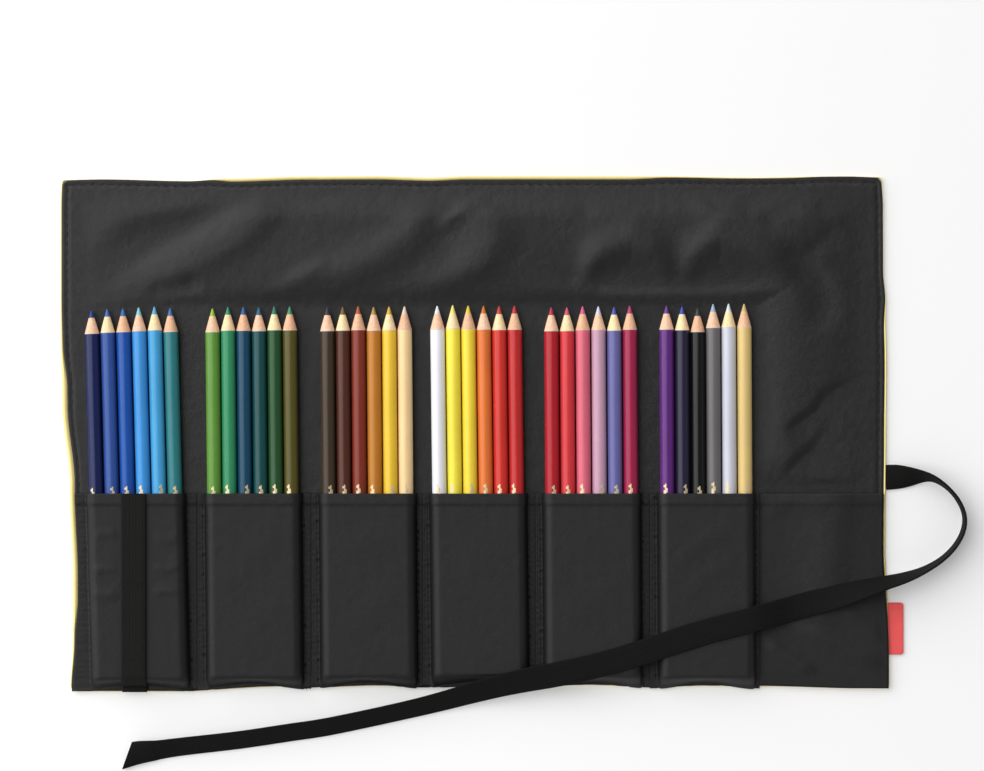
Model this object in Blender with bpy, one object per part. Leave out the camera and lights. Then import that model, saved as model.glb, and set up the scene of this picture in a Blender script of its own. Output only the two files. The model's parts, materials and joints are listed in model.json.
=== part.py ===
"""A roll for coloured pencils, opened flat with its pencils in.

The cloth is built panel by panel, because each gap between two pockets is a fold line of the roll.
X runs along the sheet, Y towards its top edge and Z up from the table. The origin lies on the table,
under the middle of the opened roll with its side tag. Lengths are in metres.
"""

from math import atan2, cos, pi, radians, sin, tan

import bmesh
import bpy
from mathutils import Vector

# The sheet, one panel for each pocket. Panel 1 is the free end, rolled up first; the last panel has the
# strap and the empty pocket, and stays outside.
SHEET_HEIGHT = 0.2394
EMPTY_PANEL_WIDTH = 0.0603
CORNER_RADIUS = 0.0040
CORNER_SEGMENTS = 4
MERGE_DISTANCE = 0.00003
COVER_THICKNESS = 0.0008
LINING_THICKNESS = 0.0006
LAYER_GAP = 0.0003
FOLD_SLOT = 0.0003
COVER_SHOWS = 0.0010

# How far each edge is drawn in from a straight line, as shares along it from left to right or from
# top to bottom.
LEFT_DRAW_IN = 0.0058
LEFT_DRAW_SHARES = ((0.0, 0.05), (0.06, 0.0), (0.30, 0.0), (0.44, 0.15), (0.60, 0.74), (0.78, 1.0),
                    (0.90, 0.98), (1.0, 0.78))
RIGHT_DRAW_IN = 0.0036
RIGHT_DRAW_SHARES = ((0.0, 1.0), (0.06, 0.79), (0.18, 0.77), (0.25, 0.43), (0.37, 0.30), (0.50, 0.37),
                     (0.72, 0.49), (0.83, 0.17), (0.92, 0.0), (1.0, 0.0))
TOP_DRAW_IN = 0.0022
TOP_DRAW_SHARES = ((0.0, 0.80), (0.05, 0.62), (0.155, 1.0), (0.20, 0.50), (0.30, 0.05), (0.38, 0.0),
                   (0.446, 0.30), (0.49, 0.0), (0.73, 0.0), (0.83, 0.26), (0.95, 0.0), (1.0, 0.2))
BOTTOM_DRAW_IN = 0.0029
BOTTOM_DRAW_SHARES = ((0.0, 0.0), (0.13, 0.0), (0.28, 0.83), (0.32, 0.72), (0.385, 0.93), (0.43, 0.68),
                      (0.52, 0.78), (0.64, 1.0), (0.71, 0.74), (0.78, 0.88), (0.86, 0.82), (0.965, 0.50),
                      (1.0, 0.48))
EDGE_STEPS = 6
LONG_EDGE_STEPS = 12

# The pockets, six of them full and the last one empty and flat.
POCKET_DEPTH = 0.0937
POCKET_THICKNESS = 0.0005
POCKET_SAG = 0.0004
POCKET_WALL_FOOT = 0.0006
POCKET_ARC_DEGREES = (180.0, 160.0, 138.0, 114.0, 90.0)
POCKET_CLOSING = 0.0038
CLOSING_SHARES = ((0.0, 1.0), (0.55, 0.62), (1.0, 0.0))
STRAIGHT_ROWS = 3
EMPTY_POCKET_LIFT = 0.0006
EMPTY_POCKET_COLUMNS = 7

# The pencils: round, sharpened, with a chamfered back end.
PENCIL_LENGTH = 0.1700
PENCIL_RADIUS = 0.0034
PENCIL_SIDES = 12
PENCIL_SEAT = 0.0086
SHARPENED_LENGTH = 0.0108
LEAD_LENGTH = 0.0036
LEAD_BLUNT_RADIUS = 0.0003
BACK_CHAMFER = 0.0004
SHARP_DEGREES = 30.0

# The rows of pencils, from the first pocket to the last full one: the margins to the left and right of
# a row, measured at the mouth from the panel's sides, the gap between its pencils, and their lean from
# the Y axis. Then how far each pencil is pushed up from its seat.
LEFT_MARGINS = (0.0135, 0.0047, 0.0049, 0.0045, 0.0045, 0.0047)
RIGHT_MARGINS = (0.0068, 0.0056, 0.0042, 0.0053, 0.0054, 0.0035)
PENCIL_GAPS = (0.00050, 0.00036, 0.00036, 0.00036, 0.00048, 0.00040)
LEAN_DEGREES = (1.5, 0.6, 0.5, 0.7, 0.4, 0.3)
PENCIL_RISES = (
    (-0.0014, -0.0009, -0.0006, -0.0002, 0.0002, -0.0005),
    (-0.0007, 0.0, 0.0, -0.0002, 0.0002, 0.0002),
    (-0.0002, 0.0, 0.0003, 0.0, 0.0001, 0.0003),
    (0.0005, 0.0008, 0.0006, 0.0005, 0.0003, 0.0005),
    (-0.0002, -0.0002, 0.0003, 0.0003, 0.0, 0.0005),
    (0.0005, 0.0002, -0.0006, 0.0013, 0.0015, 0.0015),
)
PENCIL_COLOURS = (
    (("navy", (28, 38, 86)), ("blue_violet", (58, 90, 160)), ("blue", (38, 90, 170)),
     ("azure", (66, 145, 210)), ("sky", (75, 165, 215)), ("teal", (55, 125, 128))),
    (("yellow_green", (100, 150, 65)), ("emerald", (60, 145, 100)), ("petrol", (30, 75, 100)),
     ("pine", (30, 80, 80)), ("dark_green", (45, 85, 50)), ("olive", (90, 85, 40))),
    (("umber", (72, 58, 45)), ("dark_brown", (88, 50, 38)), ("red_brown", (135, 60, 45)),
     ("ochre", (195, 130, 50)), ("golden", (243, 203, 65)), ("peach", (248, 215, 160))),
    (("white", (238, 238, 245)), ("lemon", (250, 230, 80)), ("yellow", (248, 222, 75)),
     ("orange", (228, 125, 60)), ("vermilion", (210, 60, 50)), ("red", (195, 50, 50))),
    (("crimson", (180, 40, 50)), ("rose", (215, 65, 70)), ("pink", (225, 115, 130)),
     ("lilac", (200, 160, 180)), ("periwinkle", (110, 110, 165)), ("magenta", (165, 45, 80))),
    (("purple", (100, 48, 125)), ("indigo", (48, 44, 65)), ("black", (28, 28, 28)),
     ("grey", (112, 110, 110)), ("silver", (215, 218, 230)), ("gold", (230, 205, 140))),
)

# The webbing band sewn down the first pocket, from its mouth to the bottom edge.
BAND_WIDTH = 0.0116
BAND_THICKNESS = 0.0010
BAND_FROM_EDGE = 0.0288

# The side tag, a folded strip caught in the right edge.
TAG_REACH = 0.0065
TAG_LENGTH = 0.0241
TAG_THICKNESS = 0.0009
TAG_CORNER = 0.0012
TAG_FROM_BOTTOM = 0.0172
TAG_LIFT = 0.0004

# The closing strap, a free length of webbing. Its route starts at the right edge, turns edge-on in a
# loop, crosses the last pockets, and ends on the table past the bottom edge. Each point gives X, Y, Z
# and the turn of the webbing about the route in degrees: 0 lies flat, 90 stands on edge.
STRAP_WIDTH = 0.0116
STRAP_THICKNESS = 0.0010
STRAP_STATIONS = 74
STRAP_END_SLANT = 0.0042
STRAP_END_SHARE = 0.025
ROUTE_STEPS = 16
STRAP_ROUTE = (
    (0.1882, -0.0202, 0.0010, 0.0),
    (0.1930, -0.0199, 0.0019, 12.0),
    (0.2010, -0.0195, 0.0052, 50.0),
    (0.2085, -0.0204, 0.0064, 76.0),
    (0.2150, -0.0243, 0.0066, 86.0),
    (0.2204, -0.0302, 0.0066, 88.0),
    (0.2236, -0.0376, 0.0066, 89.0),
    (0.2230, -0.0450, 0.0066, 88.0),
    (0.2192, -0.0520, 0.0066, 87.0),
    (0.2132, -0.0580, 0.0067, 85.0),
    (0.2053, -0.0628, 0.0070, 80.0),
    (0.1964, -0.0663, 0.0079, 70.0),
    (0.1876, -0.0687, 0.0085, 61.0),
    (0.1778, -0.0715, 0.0078, 48.0),
    (0.1676, -0.0745, 0.0061, 28.0),
    (0.1527, -0.0786, 0.0041, 6.0),
    (0.1425, -0.0814, 0.0044, 0.0),
    (0.1347, -0.0834, 0.0074, 0.0),
    (0.1276, -0.0851, 0.0100, 0.0),
    (0.1198, -0.0872, 0.0106, 0.0),
    (0.1012, -0.0921, 0.0106, 0.0),
    (0.0827, -0.0981, 0.0106, 0.0),
    (0.0715, -0.1018, 0.0106, 0.0),
    (0.0530, -0.1071, 0.0106, -2.0),
    (0.0349, -0.1111, 0.0106, -6.0),
    (0.0200, -0.1139, 0.0101, -15.0),
    (0.0084, -0.1165, 0.0090, -23.0),
    (-0.0050, -0.1201, 0.0070, -31.0),
    (-0.0195, -0.1242, 0.0053, -38.0),
    (-0.0380, -0.1287, 0.0047, -42.0),
    (-0.0705, -0.1356, 0.0047, -42.0),
    (-0.0900, -0.1386, 0.0047, -42.0),
    (-0.1122, -0.1419, 0.0047, -42.0),
    (-0.1382, -0.1449, 0.0047, -41.0),
    (-0.1498, -0.1465, 0.0045, -37.0),
    (-0.1588, -0.1479, 0.0036, -24.0),
    (-0.1648, -0.1494, 0.0028, -12.0),
)

# Finishes.
COVER_COLOUR = (238, 214, 120)
LINING_COLOUR = (50, 50, 52)
POCKET_COLOUR = (44, 44, 46)
WEBBING_COLOUR = (26, 26, 25)
TAG_COLOUR = (205, 55, 60)
CLOTH_ROUGHNESS = 0.6
WEBBING_ROUGHNESS = 0.85
LACQUER_ROUGHNESS = 0.22

PENCIL_PITCHES = tuple(2 * PENCIL_RADIUS + gap for gap in PENCIL_GAPS)
PANEL_WIDTHS = tuple(
    left + 2 * PENCIL_RADIUS + pitch * (len(row) - 1) + right
    for left, right, pitch, row in zip(LEFT_MARGINS, RIGHT_MARGINS, PENCIL_PITCHES, PENCIL_COLOURS)
) + (EMPTY_PANEL_WIDTH,)
SHEET_WIDTH = sum(PANEL_WIDTHS)
SHEET_LEFT = -(SHEET_WIDTH + TAG_REACH) / 2
SHEET_RIGHT = SHEET_LEFT + SHEET_WIDTH
SHEET_TOP = SHEET_HEIGHT / 2
SHEET_BOTTOM = -SHEET_HEIGHT / 2
FOLD_LINES = tuple(SHEET_LEFT + sum(PANEL_WIDTHS[:count]) for count in range(1, len(PANEL_WIDTHS)))
LINING_BOTTOM_Z = COVER_THICKNESS + LAYER_GAP
LINING_TOP_Z = LINING_BOTTOM_Z + LINING_THICKNESS
FLANGE_Z = LINING_TOP_Z + LAYER_GAP
FOLD_AXIS_Z = FLANGE_Z + POCKET_THICKNESS
PENCIL_Z = LINING_TOP_Z + LAYER_GAP + PENCIL_RADIUS
POCKET_ARC_RADIUS = PENCIL_RADIUS + LAYER_GAP
MOUTH_Y = SHEET_BOTTOM + POCKET_DEPTH
PENCIL_END_Y = SHEET_BOTTOM + PENCIL_SEAT


def clear_scene():
    """Removes whatever the open file holds."""
    for old in list(bpy.data.objects):
        bpy.data.objects.remove(old, do_unlink=True)


def finish(name, colour, roughness):
    """A plain finish from an sRGB colour of 0 to 255."""
    material = bpy.data.materials.new(name)
    material.use_nodes = True
    shader = material.node_tree.nodes["Principled BSDF"]
    linear = [(channel / 255.0) ** 2.2 for channel in colour]
    shader.inputs["Base Color"].default_value = (*linear, 1.0)
    shader.inputs["Roughness"].default_value = roughness
    shader.inputs["Metallic"].default_value = 0.0
    return material


def add_object(name, data, parent, material, location=(0, 0, 0)):
    """Places a mesh in the scene by its world position, carried by its panel's empty."""
    piece = bpy.data.objects.new(name, data)
    bpy.context.collection.objects.link(piece)
    data.materials.append(material)
    piece.parent = parent
    piece.location = Vector(location) - axis_position(parent)
    return piece


def axis_position(empty):
    """Where an empty stands in the world, summed up its line of parents."""
    place = Vector()
    while empty is not None:
        place += empty.location
        empty = empty.parent
    return place


def add_axis(name, parent, position):
    """An empty on a joint's axis."""
    empty = bpy.data.objects.new(name, None)
    bpy.context.collection.objects.link(empty)
    empty.parent = parent
    empty.location = Vector(position) - axis_position(parent)
    return empty


def smooth_between(table, place):
    """Reads a table of (place, value) shares, eased between its points."""
    for (start, low), (end, high) in zip(table, table[1:]):
        if place <= end:
            part = min(max((place - start) / (end - start), 0.0), 1.0)
            return low + (high - low) * (1 - cos(pi * part)) / 2
    return table[-1][1]


def left_edge(y):
    """The X of the cover's left edge."""
    down = (SHEET_TOP - y) / SHEET_HEIGHT
    return SHEET_LEFT + LEFT_DRAW_IN * smooth_between(LEFT_DRAW_SHARES, down)


def right_edge(y):
    """The X of the cover's right edge."""
    down = (SHEET_TOP - y) / SHEET_HEIGHT
    return SHEET_RIGHT - RIGHT_DRAW_IN * smooth_between(RIGHT_DRAW_SHARES, down)


def top_edge(x):
    """The Y of the cover's top edge."""
    return SHEET_TOP - TOP_DRAW_IN * smooth_between(TOP_DRAW_SHARES, (x - SHEET_LEFT) / SHEET_WIDTH)


def bottom_edge(x):
    """The Y of the cover's bottom edge."""
    across = (x - SHEET_LEFT) / SHEET_WIDTH
    return SHEET_BOTTOM + BOTTOM_DRAW_IN * smooth_between(BOTTOM_DRAW_SHARES, across)


def side_of_panel(index, side, y, inset):
    """The X of a panel's left (-1) or right (1) side: the sheet's edge, or just short of a fold line."""
    if side < 0 and index == 0:
        return left_edge(y) + inset
    if side > 0 and index == len(PANEL_WIDTHS) - 1:
        return right_edge(y) - inset
    if side < 0:
        return FOLD_LINES[index - 1] + FOLD_SLOT / 2
    return FOLD_LINES[index] - FOLD_SLOT / 2


def spaced(start, end, steps):
    """Places from start up to, and not including, end."""
    return [start + (end - start) * step / steps for step in range(steps)]


def panel_outline(index, inset):
    """The outline of one panel of a layer, counter-clockwise, and the places of the sheet's own corners."""
    last = len(PANEL_WIDTHS) - 1
    left = side_of_panel(index, -1, SHEET_BOTTOM, inset)
    right = side_of_panel(index, 1, SHEET_BOTTOM, inset)
    top_left = side_of_panel(index, -1, SHEET_TOP, inset)
    top_right = side_of_panel(index, 1, SHEET_TOP, inset)
    points = [(x, bottom_edge(x) + inset) for x in spaced(left, right, EDGE_STEPS)]
    low, high = bottom_edge(right) + inset, top_edge(top_right) - inset
    rows = spaced(low, high, LONG_EDGE_STEPS if index == last else 1)
    points += [(side_of_panel(index, 1, y, inset) if step else right, y) for step, y in enumerate(rows)]
    points += [(x, top_edge(x) - inset) for x in spaced(top_right, top_left, EDGE_STEPS)]
    low, high = bottom_edge(left) + inset, top_edge(top_left) - inset
    rows = spaced(high, low, LONG_EDGE_STEPS if index == 0 else 1)
    points += [(side_of_panel(index, -1, y, inset) if step else top_left, y) for step, y in enumerate(rows)]
    corners = []
    if index == 0:
        corners = [(left, bottom_edge(left) + inset), (top_left, top_edge(top_left) - inset)]
    if index == last:
        corners = [(right, bottom_edge(right) + inset), (top_right, top_edge(top_right) - inset)]
    return points, corners


def slab(name, points, corners, radius, low, thickness):
    """A flat piece cut to an outline, with the given corners rounded, raised to its thickness."""
    bm = bmesh.new()
    outline = [bm.verts.new((x, y, low)) for x, y in points]
    face = bm.faces.new(outline)
    rounded = [vert for vert in outline
               if any((vert.co.xy - Vector(corner)).length < LAYER_GAP for corner in corners)]
    if rounded:
        bmesh.ops.bevel(bm, geom=rounded, affect="VERTICES", offset=radius, offset_type="OFFSET",
                        segments=CORNER_SEGMENTS, profile=0.5, material=-1)
    face = bm.faces[:][0]
    raised = bmesh.ops.extrude_face_region(bm, geom=[face])["geom"]
    tops = [vert for vert in raised if isinstance(vert, bmesh.types.BMVert)]
    bmesh.ops.translate(bm, verts=tops, vec=(0, 0, thickness))
    bmesh.ops.dissolve_degenerate(bm, dist=MERGE_DISTANCE, edges=bm.edges[:])
    bmesh.ops.recalc_face_normals(bm, faces=bm.faces[:])
    mesh = bpy.data.meshes.new(name)
    bm.to_mesh(mesh)
    bm.free()
    return mesh


def cloth(name, columns, rows, point):
    """A sheet of quads that follows point(column, row)."""
    bm = bmesh.new()
    bmesh.ops.create_grid(bm, x_segments=columns - 1, y_segments=rows - 1, size=1)
    for vert in bm.verts:
        column = round((vert.co.x + 1) / 2 * (columns - 1))
        row = round((vert.co.y + 1) / 2 * (rows - 1))
        vert.co = point(column, row)
    mesh = bpy.data.meshes.new(name)
    bm.to_mesh(mesh)
    bm.free()
    mesh.shade_smooth()
    return mesh


def thicken(piece, thickness, offset):
    """Gives a sheet its thickness: above it with offset 1, to both sides with offset 0."""
    wall = piece.modifiers.new("wall", "SOLIDIFY")
    wall.thickness = thickness
    wall.offset = offset
    wall.use_even_offset = True


def pencil_centre(pocket, number, y):
    """The X of a pencil's axis at height y up the sheet, in a row that leans about the pocket's mouth."""
    start = SHEET_LEFT if pocket == 0 else FOLD_LINES[pocket - 1]
    at_mouth = start + LEFT_MARGINS[pocket] + PENCIL_RADIUS + PENCIL_PITCHES[pocket] * number
    return at_mouth - tan(radians(LEAN_DEGREES[pocket])) * (y - MOUTH_Y)


def pocket_section(pocket, y):
    """The inside of a full pocket across its panel at height y, from left to right, as (x, z) points."""
    last = len(PENCIL_RISES[pocket]) - 1
    arc = [(POCKET_ARC_RADIUS * cos(radians(turn)), POCKET_ARC_RADIUS * sin(radians(turn)))
           for turn in POCKET_ARC_DEGREES]
    first_x, last_x = pencil_centre(pocket, 0, y), pencil_centre(pocket, last, y)
    foot = POCKET_ARC_RADIUS + POCKET_WALL_FOOT
    section = [(side_of_panel(pocket, -1, y, COVER_SHOWS), FLANGE_Z), (first_x - foot, FLANGE_Z)]
    section += [(first_x + x, PENCIL_Z + z) for x, z in arc]
    crown = PENCIL_Z + POCKET_ARC_RADIUS
    for number in range(last):
        section.append((pencil_centre(pocket, number + 0.5, y), crown - POCKET_SAG))
        if number < last - 1:
            section.append((pencil_centre(pocket, number + 1, y), crown))
    section += [(last_x - x, PENCIL_Z + z) for x, z in reversed(arc)]
    section += [(last_x + foot, FLANGE_Z), (side_of_panel(pocket, 1, y, COVER_SHOWS), FLANGE_Z)]
    return section


def closing_rows(pocket):
    """The rows of a full pocket from mouth to hem, as (y, share of the full height)."""
    lowest_end = PENCIL_END_Y + min(PENCIL_RISES[pocket]) - LAYER_GAP
    rows = [(y, 1.0) for y in spaced(MOUTH_Y, lowest_end, STRAIGHT_ROWS)]
    rows += [(lowest_end - POCKET_CLOSING * share, height) for share, height in CLOSING_SHARES]
    return rows


def full_pocket(pocket, parent, material):
    """A pocket front shaped over its six pencils and closed below their ends, with sewn-down margins."""
    rows = closing_rows(pocket)
    sections = [pocket_section(pocket, y) for y, _ in rows]

    def point(column, row):
        if row == 0:
            x, _ = sections[-1][column]
            return x, bottom_edge(x) + COVER_SHOWS, FLANGE_Z
        y, height = rows[len(rows) - row]
        x, z = sections[len(rows) - row][column]
        return x, y, FLANGE_Z + (z - FLANGE_Z) * height

    name = f"pocket_{pocket + 1}"
    piece = add_object(name, cloth(name, len(sections[0]), len(rows) + 1, point), parent, material)
    thicken(piece, POCKET_THICKNESS, 1)
    return piece


def empty_pocket(pocket, parent, material):
    """The last pocket, flat on the lining, with a slight lift in the middle of its mouth."""
    rows = [(y, share / STRAIGHT_ROWS) for share, y in
            enumerate(spaced(SHEET_BOTTOM, MOUTH_Y, STRAIGHT_ROWS) + [MOUTH_Y])]

    def point(column, row):
        y, openness = rows[row]
        left = side_of_panel(pocket, -1, y, COVER_SHOWS)
        right = side_of_panel(pocket, 1, y, COVER_SHOWS)
        share = column / (EMPTY_POCKET_COLUMNS - 1)
        x = left + (right - left) * share
        lift = EMPTY_POCKET_LIFT * sin(pi * share) ** 2 * openness
        return x, bottom_edge(x) + COVER_SHOWS if row == 0 else y, FLANGE_Z + lift

    name = f"pocket_{pocket + 1}"
    piece = add_object(name, cloth(name, EMPTY_POCKET_COLUMNS, len(rows), point), parent, material)
    thicken(piece, POCKET_THICKNESS, 1)
    return piece


def offset_path(points, distance):
    """A path of (y, z) points moved sideways, mitred at its corners: up, where it runs towards -Y."""
    moved = []
    for index, point in enumerate(points):
        before = points[max(index - 1, 0)]
        after = points[min(index + 1, len(points) - 1)]
        first = atan2(point[1] - before[1], before[0] - point[0]) if index else None
        second = atan2(after[1] - point[1], point[0] - after[0]) if after is not point else first
        first = second if first is None else first
        middle = (first + second) / 2
        reach = distance / cos((first - second) / 2)
        moved.append((point[0] + reach * sin(middle), point[1] + reach * cos(middle)))
    return moved


def webbing_band(parent, material):
    """The band that lies over the first pocket and follows it down to the bottom edge."""
    crown = PENCIL_Z + POCKET_ARC_RADIUS - FLANGE_Z
    path = [(y, FLANGE_Z + crown * height) for y, height in closing_rows(0)]
    left = SHEET_LEFT + BAND_FROM_EDGE
    path.append((bottom_edge(left) + COVER_SHOWS, FLANGE_Z))
    path = offset_path(path, POCKET_THICKNESS + LAYER_GAP)

    def point(column, row):
        y, z = path[len(path) - 1 - row]
        return left + BAND_WIDTH * column, y, z

    name = "webbing_band"
    piece = add_object(name, cloth(name, 2, len(path), point), parent, material)
    thicken(piece, BAND_THICKNESS, 1)
    return piece


def side_tag(parent, material):
    """The tag, its inner side against the sheet's right edge and its outer corners rounded."""
    low = SHEET_BOTTOM + TAG_FROM_BOTTOM
    high = low + TAG_LENGTH
    outer = SHEET_RIGHT + TAG_REACH
    points = [(right_edge(low) + LAYER_GAP, low), (outer, low), (outer, high),
              (right_edge(high) + LAYER_GAP, high)]
    mesh = slab("side_tag", points, points[1:3], TAG_CORNER, TAG_LIFT, TAG_THICKNESS)
    return add_object("side_tag", mesh, parent, material)


def pencil_mesh():
    """One pencil turned about the Y axis, from its back end at the origin to its point."""
    slope = (PENCIL_RADIUS - LEAD_BLUNT_RADIUS) / SHARPENED_LENGTH
    profile = [
        (0, 0),
        (PENCIL_RADIUS - BACK_CHAMFER, 0),
        (PENCIL_RADIUS, BACK_CHAMFER),
        (PENCIL_RADIUS, PENCIL_LENGTH - SHARPENED_LENGTH),
        (LEAD_BLUNT_RADIUS + slope * LEAD_LENGTH, PENCIL_LENGTH - LEAD_LENGTH),
        (LEAD_BLUNT_RADIUS, PENCIL_LENGTH),
        (0, PENCIL_LENGTH),
    ]
    bm = bmesh.new()
    verts = [bm.verts.new((x, y, 0)) for x, y in profile]
    edges = [bm.edges.new(pair) for pair in zip(verts, verts[1:])]
    bmesh.ops.spin(bm, geom=verts + edges, cent=(0, 0, 0), axis=(0, 1, 0), angle=2 * pi,
                   steps=PENCIL_SIDES, use_merge=True)
    bmesh.ops.remove_doubles(bm, verts=bm.verts[:], dist=MERGE_DISTANCE)
    bmesh.ops.recalc_face_normals(bm, faces=bm.faces[:])
    mesh = bpy.data.meshes.new("pencil")
    bm.to_mesh(mesh)
    bm.free()
    mesh.shade_smooth()
    mesh.set_sharp_from_angle(angle=radians(SHARP_DEGREES))
    return mesh


def pencils(pocket, parent):
    """The six pencils of one pocket, each with its own colour, origin on its slide axis at its back end."""
    shape = pencil_mesh()
    for number, (colour_name, colour) in enumerate(PENCIL_COLOURS[pocket]):
        name = f"pencil_{colour_name}"
        end_y = PENCIL_END_Y + PENCIL_RISES[pocket][number]
        place = (pencil_centre(pocket, number, end_y), end_y, PENCIL_Z)
        lacquer = finish(f"lacquer_{colour_name}", colour, LACQUER_ROUGHNESS)
        piece = add_object(name, shape.copy(), parent, lacquer, place)
        piece.rotation_euler.z = radians(LEAN_DEGREES[pocket])


def smooth_route(route, stations):
    """Even stations along a smooth curve through the route's points, as positions with their turns."""
    points = [Vector(p) for p in route]
    padded = [points[0] * 2 - points[1]] + points + [points[-1] * 2 - points[-2]]
    fine = []
    for before, start, end, after in zip(padded, padded[1:], padded[2:], padded[3:]):
        for step in range(ROUTE_STEPS):
            t = step / ROUTE_STEPS
            fine.append((start * 2 + (end - before) * t + (before * 2 - start * 5 + end * 4 - after) * t * t
                         + (start * 3 - before - end * 3 + after) * t ** 3) / 2)
    fine.append(points[-1])
    lengths = [0.0]
    for near, far in zip(fine, fine[1:]):
        lengths.append(lengths[-1] + (far.xyz - near.xyz).length)
    even, index = [], 0
    for station in range(stations):
        wanted = lengths[-1] * station / (stations - 1)
        while index < len(lengths) - 2 and lengths[index + 1] < wanted:
            index += 1
        part = (wanted - lengths[index]) / (lengths[index + 1] - lengths[index])
        even.append(fine[index].lerp(fine[index + 1], part))
    return even


def closing_strap(parent, material):
    """The free strap, flat webbing turned about its route, with its end cut on a slant."""
    route = [Vector((*point[:3], radians(point[3]))) for point in STRAP_ROUTE]
    stations = smooth_route(route, STRAP_STATIONS)

    def point(column, row):
        here = stations[row]
        along = (stations[min(row + 1, len(stations) - 1)].xyz - stations[max(row - 1, 0)].xyz).normalized()
        level = Vector((0, 0, 1)).cross(along).normalized()
        upright = along.cross(level)
        across = level * cos(here.w) + upright * sin(here.w)
        share = row / (len(stations) - 1)
        side = 1 - 2 * column
        slant = max(share - 1 + STRAP_END_SHARE, 0) / STRAP_END_SHARE * STRAP_END_SLANT * side
        return here.xyz + across * (side * STRAP_WIDTH / 2) + Vector((along.x, along.y, 0)) * slant

    name = "closing_strap"
    start = stations[0].xyz
    mesh = cloth(name, 2, len(stations), point)
    for vert in mesh.vertices:
        vert.co -= start
    piece = add_object(name, mesh, parent, material, start)
    thicken(piece, STRAP_THICKNESS, 0)
    return piece


def build():
    """Builds the roll from its strap end to its free end, each panel carried by the one before."""
    clear_scene()
    cover_finish = finish("cover_cloth", COVER_COLOUR, CLOTH_ROUGHNESS)
    lining_finish = finish("lining_cloth", LINING_COLOUR, CLOTH_ROUGHNESS)
    pocket_finish = finish("pocket_cloth", POCKET_COLOUR, CLOTH_ROUGHNESS)
    webbing_finish = finish("webbing", WEBBING_COLOUR, WEBBING_ROUGHNESS)
    carrier = None
    for index in reversed(range(len(PANEL_WIDTHS))):
        is_root = index == len(PANEL_WIDTHS) - 1
        place = (0, 0, 0) if is_root else (FOLD_LINES[index], 0, FOLD_AXIS_Z)
        carrier = add_axis(f"panel_{index + 1}_axis", carrier, place)
        outline, corners = panel_outline(index, 0)
        mesh = slab("cover", outline, corners, CORNER_RADIUS, 0, COVER_THICKNESS)
        add_object(f"cover_{index + 1}", mesh, carrier, cover_finish)
        outline, corners = panel_outline(index, COVER_SHOWS)
        mesh = slab("lining", outline, corners, CORNER_RADIUS, LINING_BOTTOM_Z, LINING_THICKNESS)
        add_object(f"lining_{index + 1}", mesh, carrier, lining_finish)
        if is_root:
            empty_pocket(index, carrier, pocket_finish)
            side_tag(carrier, finish("tag_cloth", TAG_COLOUR, CLOTH_ROUGHNESS))
            seam = add_axis("strap_axis", carrier, STRAP_ROUTE[0][:3])
            closing_strap(seam, webbing_finish)
        else:
            full_pocket(index, carrier, pocket_finish)
            pencils(index, carrier)
    webbing_band(carrier, webbing_finish)


build()
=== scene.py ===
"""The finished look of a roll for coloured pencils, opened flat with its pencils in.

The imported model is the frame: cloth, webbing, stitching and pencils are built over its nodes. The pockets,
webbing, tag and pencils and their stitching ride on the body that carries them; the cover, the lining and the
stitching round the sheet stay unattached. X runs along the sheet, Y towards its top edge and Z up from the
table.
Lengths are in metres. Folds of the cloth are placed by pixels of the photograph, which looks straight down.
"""

from __future__ import annotations

import json
import logging
from collections.abc import Mapping, Sequence
from dataclasses import dataclass
from enum import Enum, IntEnum
from math import atan2, cos, degrees, hypot, pi, radians, sin

import bmesh
import bpy
import numpy as np
from mathutils import Matrix, Vector

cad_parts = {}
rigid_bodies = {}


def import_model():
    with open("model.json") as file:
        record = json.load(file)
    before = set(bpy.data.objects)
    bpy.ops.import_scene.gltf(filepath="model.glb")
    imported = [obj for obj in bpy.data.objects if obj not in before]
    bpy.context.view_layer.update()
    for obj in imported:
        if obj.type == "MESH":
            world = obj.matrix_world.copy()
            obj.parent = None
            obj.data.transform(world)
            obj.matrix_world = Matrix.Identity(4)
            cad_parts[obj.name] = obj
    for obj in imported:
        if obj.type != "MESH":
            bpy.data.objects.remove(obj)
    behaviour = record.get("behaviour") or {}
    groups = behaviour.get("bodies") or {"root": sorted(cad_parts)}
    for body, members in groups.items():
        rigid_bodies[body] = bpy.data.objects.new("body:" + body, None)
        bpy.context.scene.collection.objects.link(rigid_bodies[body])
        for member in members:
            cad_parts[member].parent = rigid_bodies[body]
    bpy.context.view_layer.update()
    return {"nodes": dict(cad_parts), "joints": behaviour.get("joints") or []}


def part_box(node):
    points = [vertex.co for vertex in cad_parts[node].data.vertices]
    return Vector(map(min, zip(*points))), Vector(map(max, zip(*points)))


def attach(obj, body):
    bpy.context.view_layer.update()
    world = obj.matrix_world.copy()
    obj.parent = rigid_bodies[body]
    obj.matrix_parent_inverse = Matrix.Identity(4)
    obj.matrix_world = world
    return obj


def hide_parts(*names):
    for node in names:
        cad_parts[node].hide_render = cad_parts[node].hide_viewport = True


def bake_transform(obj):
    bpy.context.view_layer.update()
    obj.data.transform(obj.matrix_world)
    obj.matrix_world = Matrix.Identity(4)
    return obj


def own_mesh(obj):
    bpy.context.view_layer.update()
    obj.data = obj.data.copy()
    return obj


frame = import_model()

LOG = logging.getLogger("pencil_roll")
WEAVE_MAP = "weave"
MERGE_DISTANCE = 0.000005


def linear(colour: Sequence[float]) -> tuple[float, float, float, float]:
    """Turns an sRGB colour into the linear colour that a socket takes.

    Args:
        colour: Its red, green and blue, of 0 to 255.

    Returns:
        The same three as linear shares, and an opacity of 1.
    """
    shares = [channel / 255 for channel in colour]
    light = [c / 12.92 if c <= 0.04045 else ((c + 0.055) / 1.055) ** 2.4 for c in shares]
    return (light[0], light[1], light[2], 1.0)


def eased(share: np.ndarray) -> np.ndarray:
    """Clips shares to 0 to 1 and eases them at both ends."""
    held = np.clip(share, 0, 1)
    return held * held * (3 - 2 * held)


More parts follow.
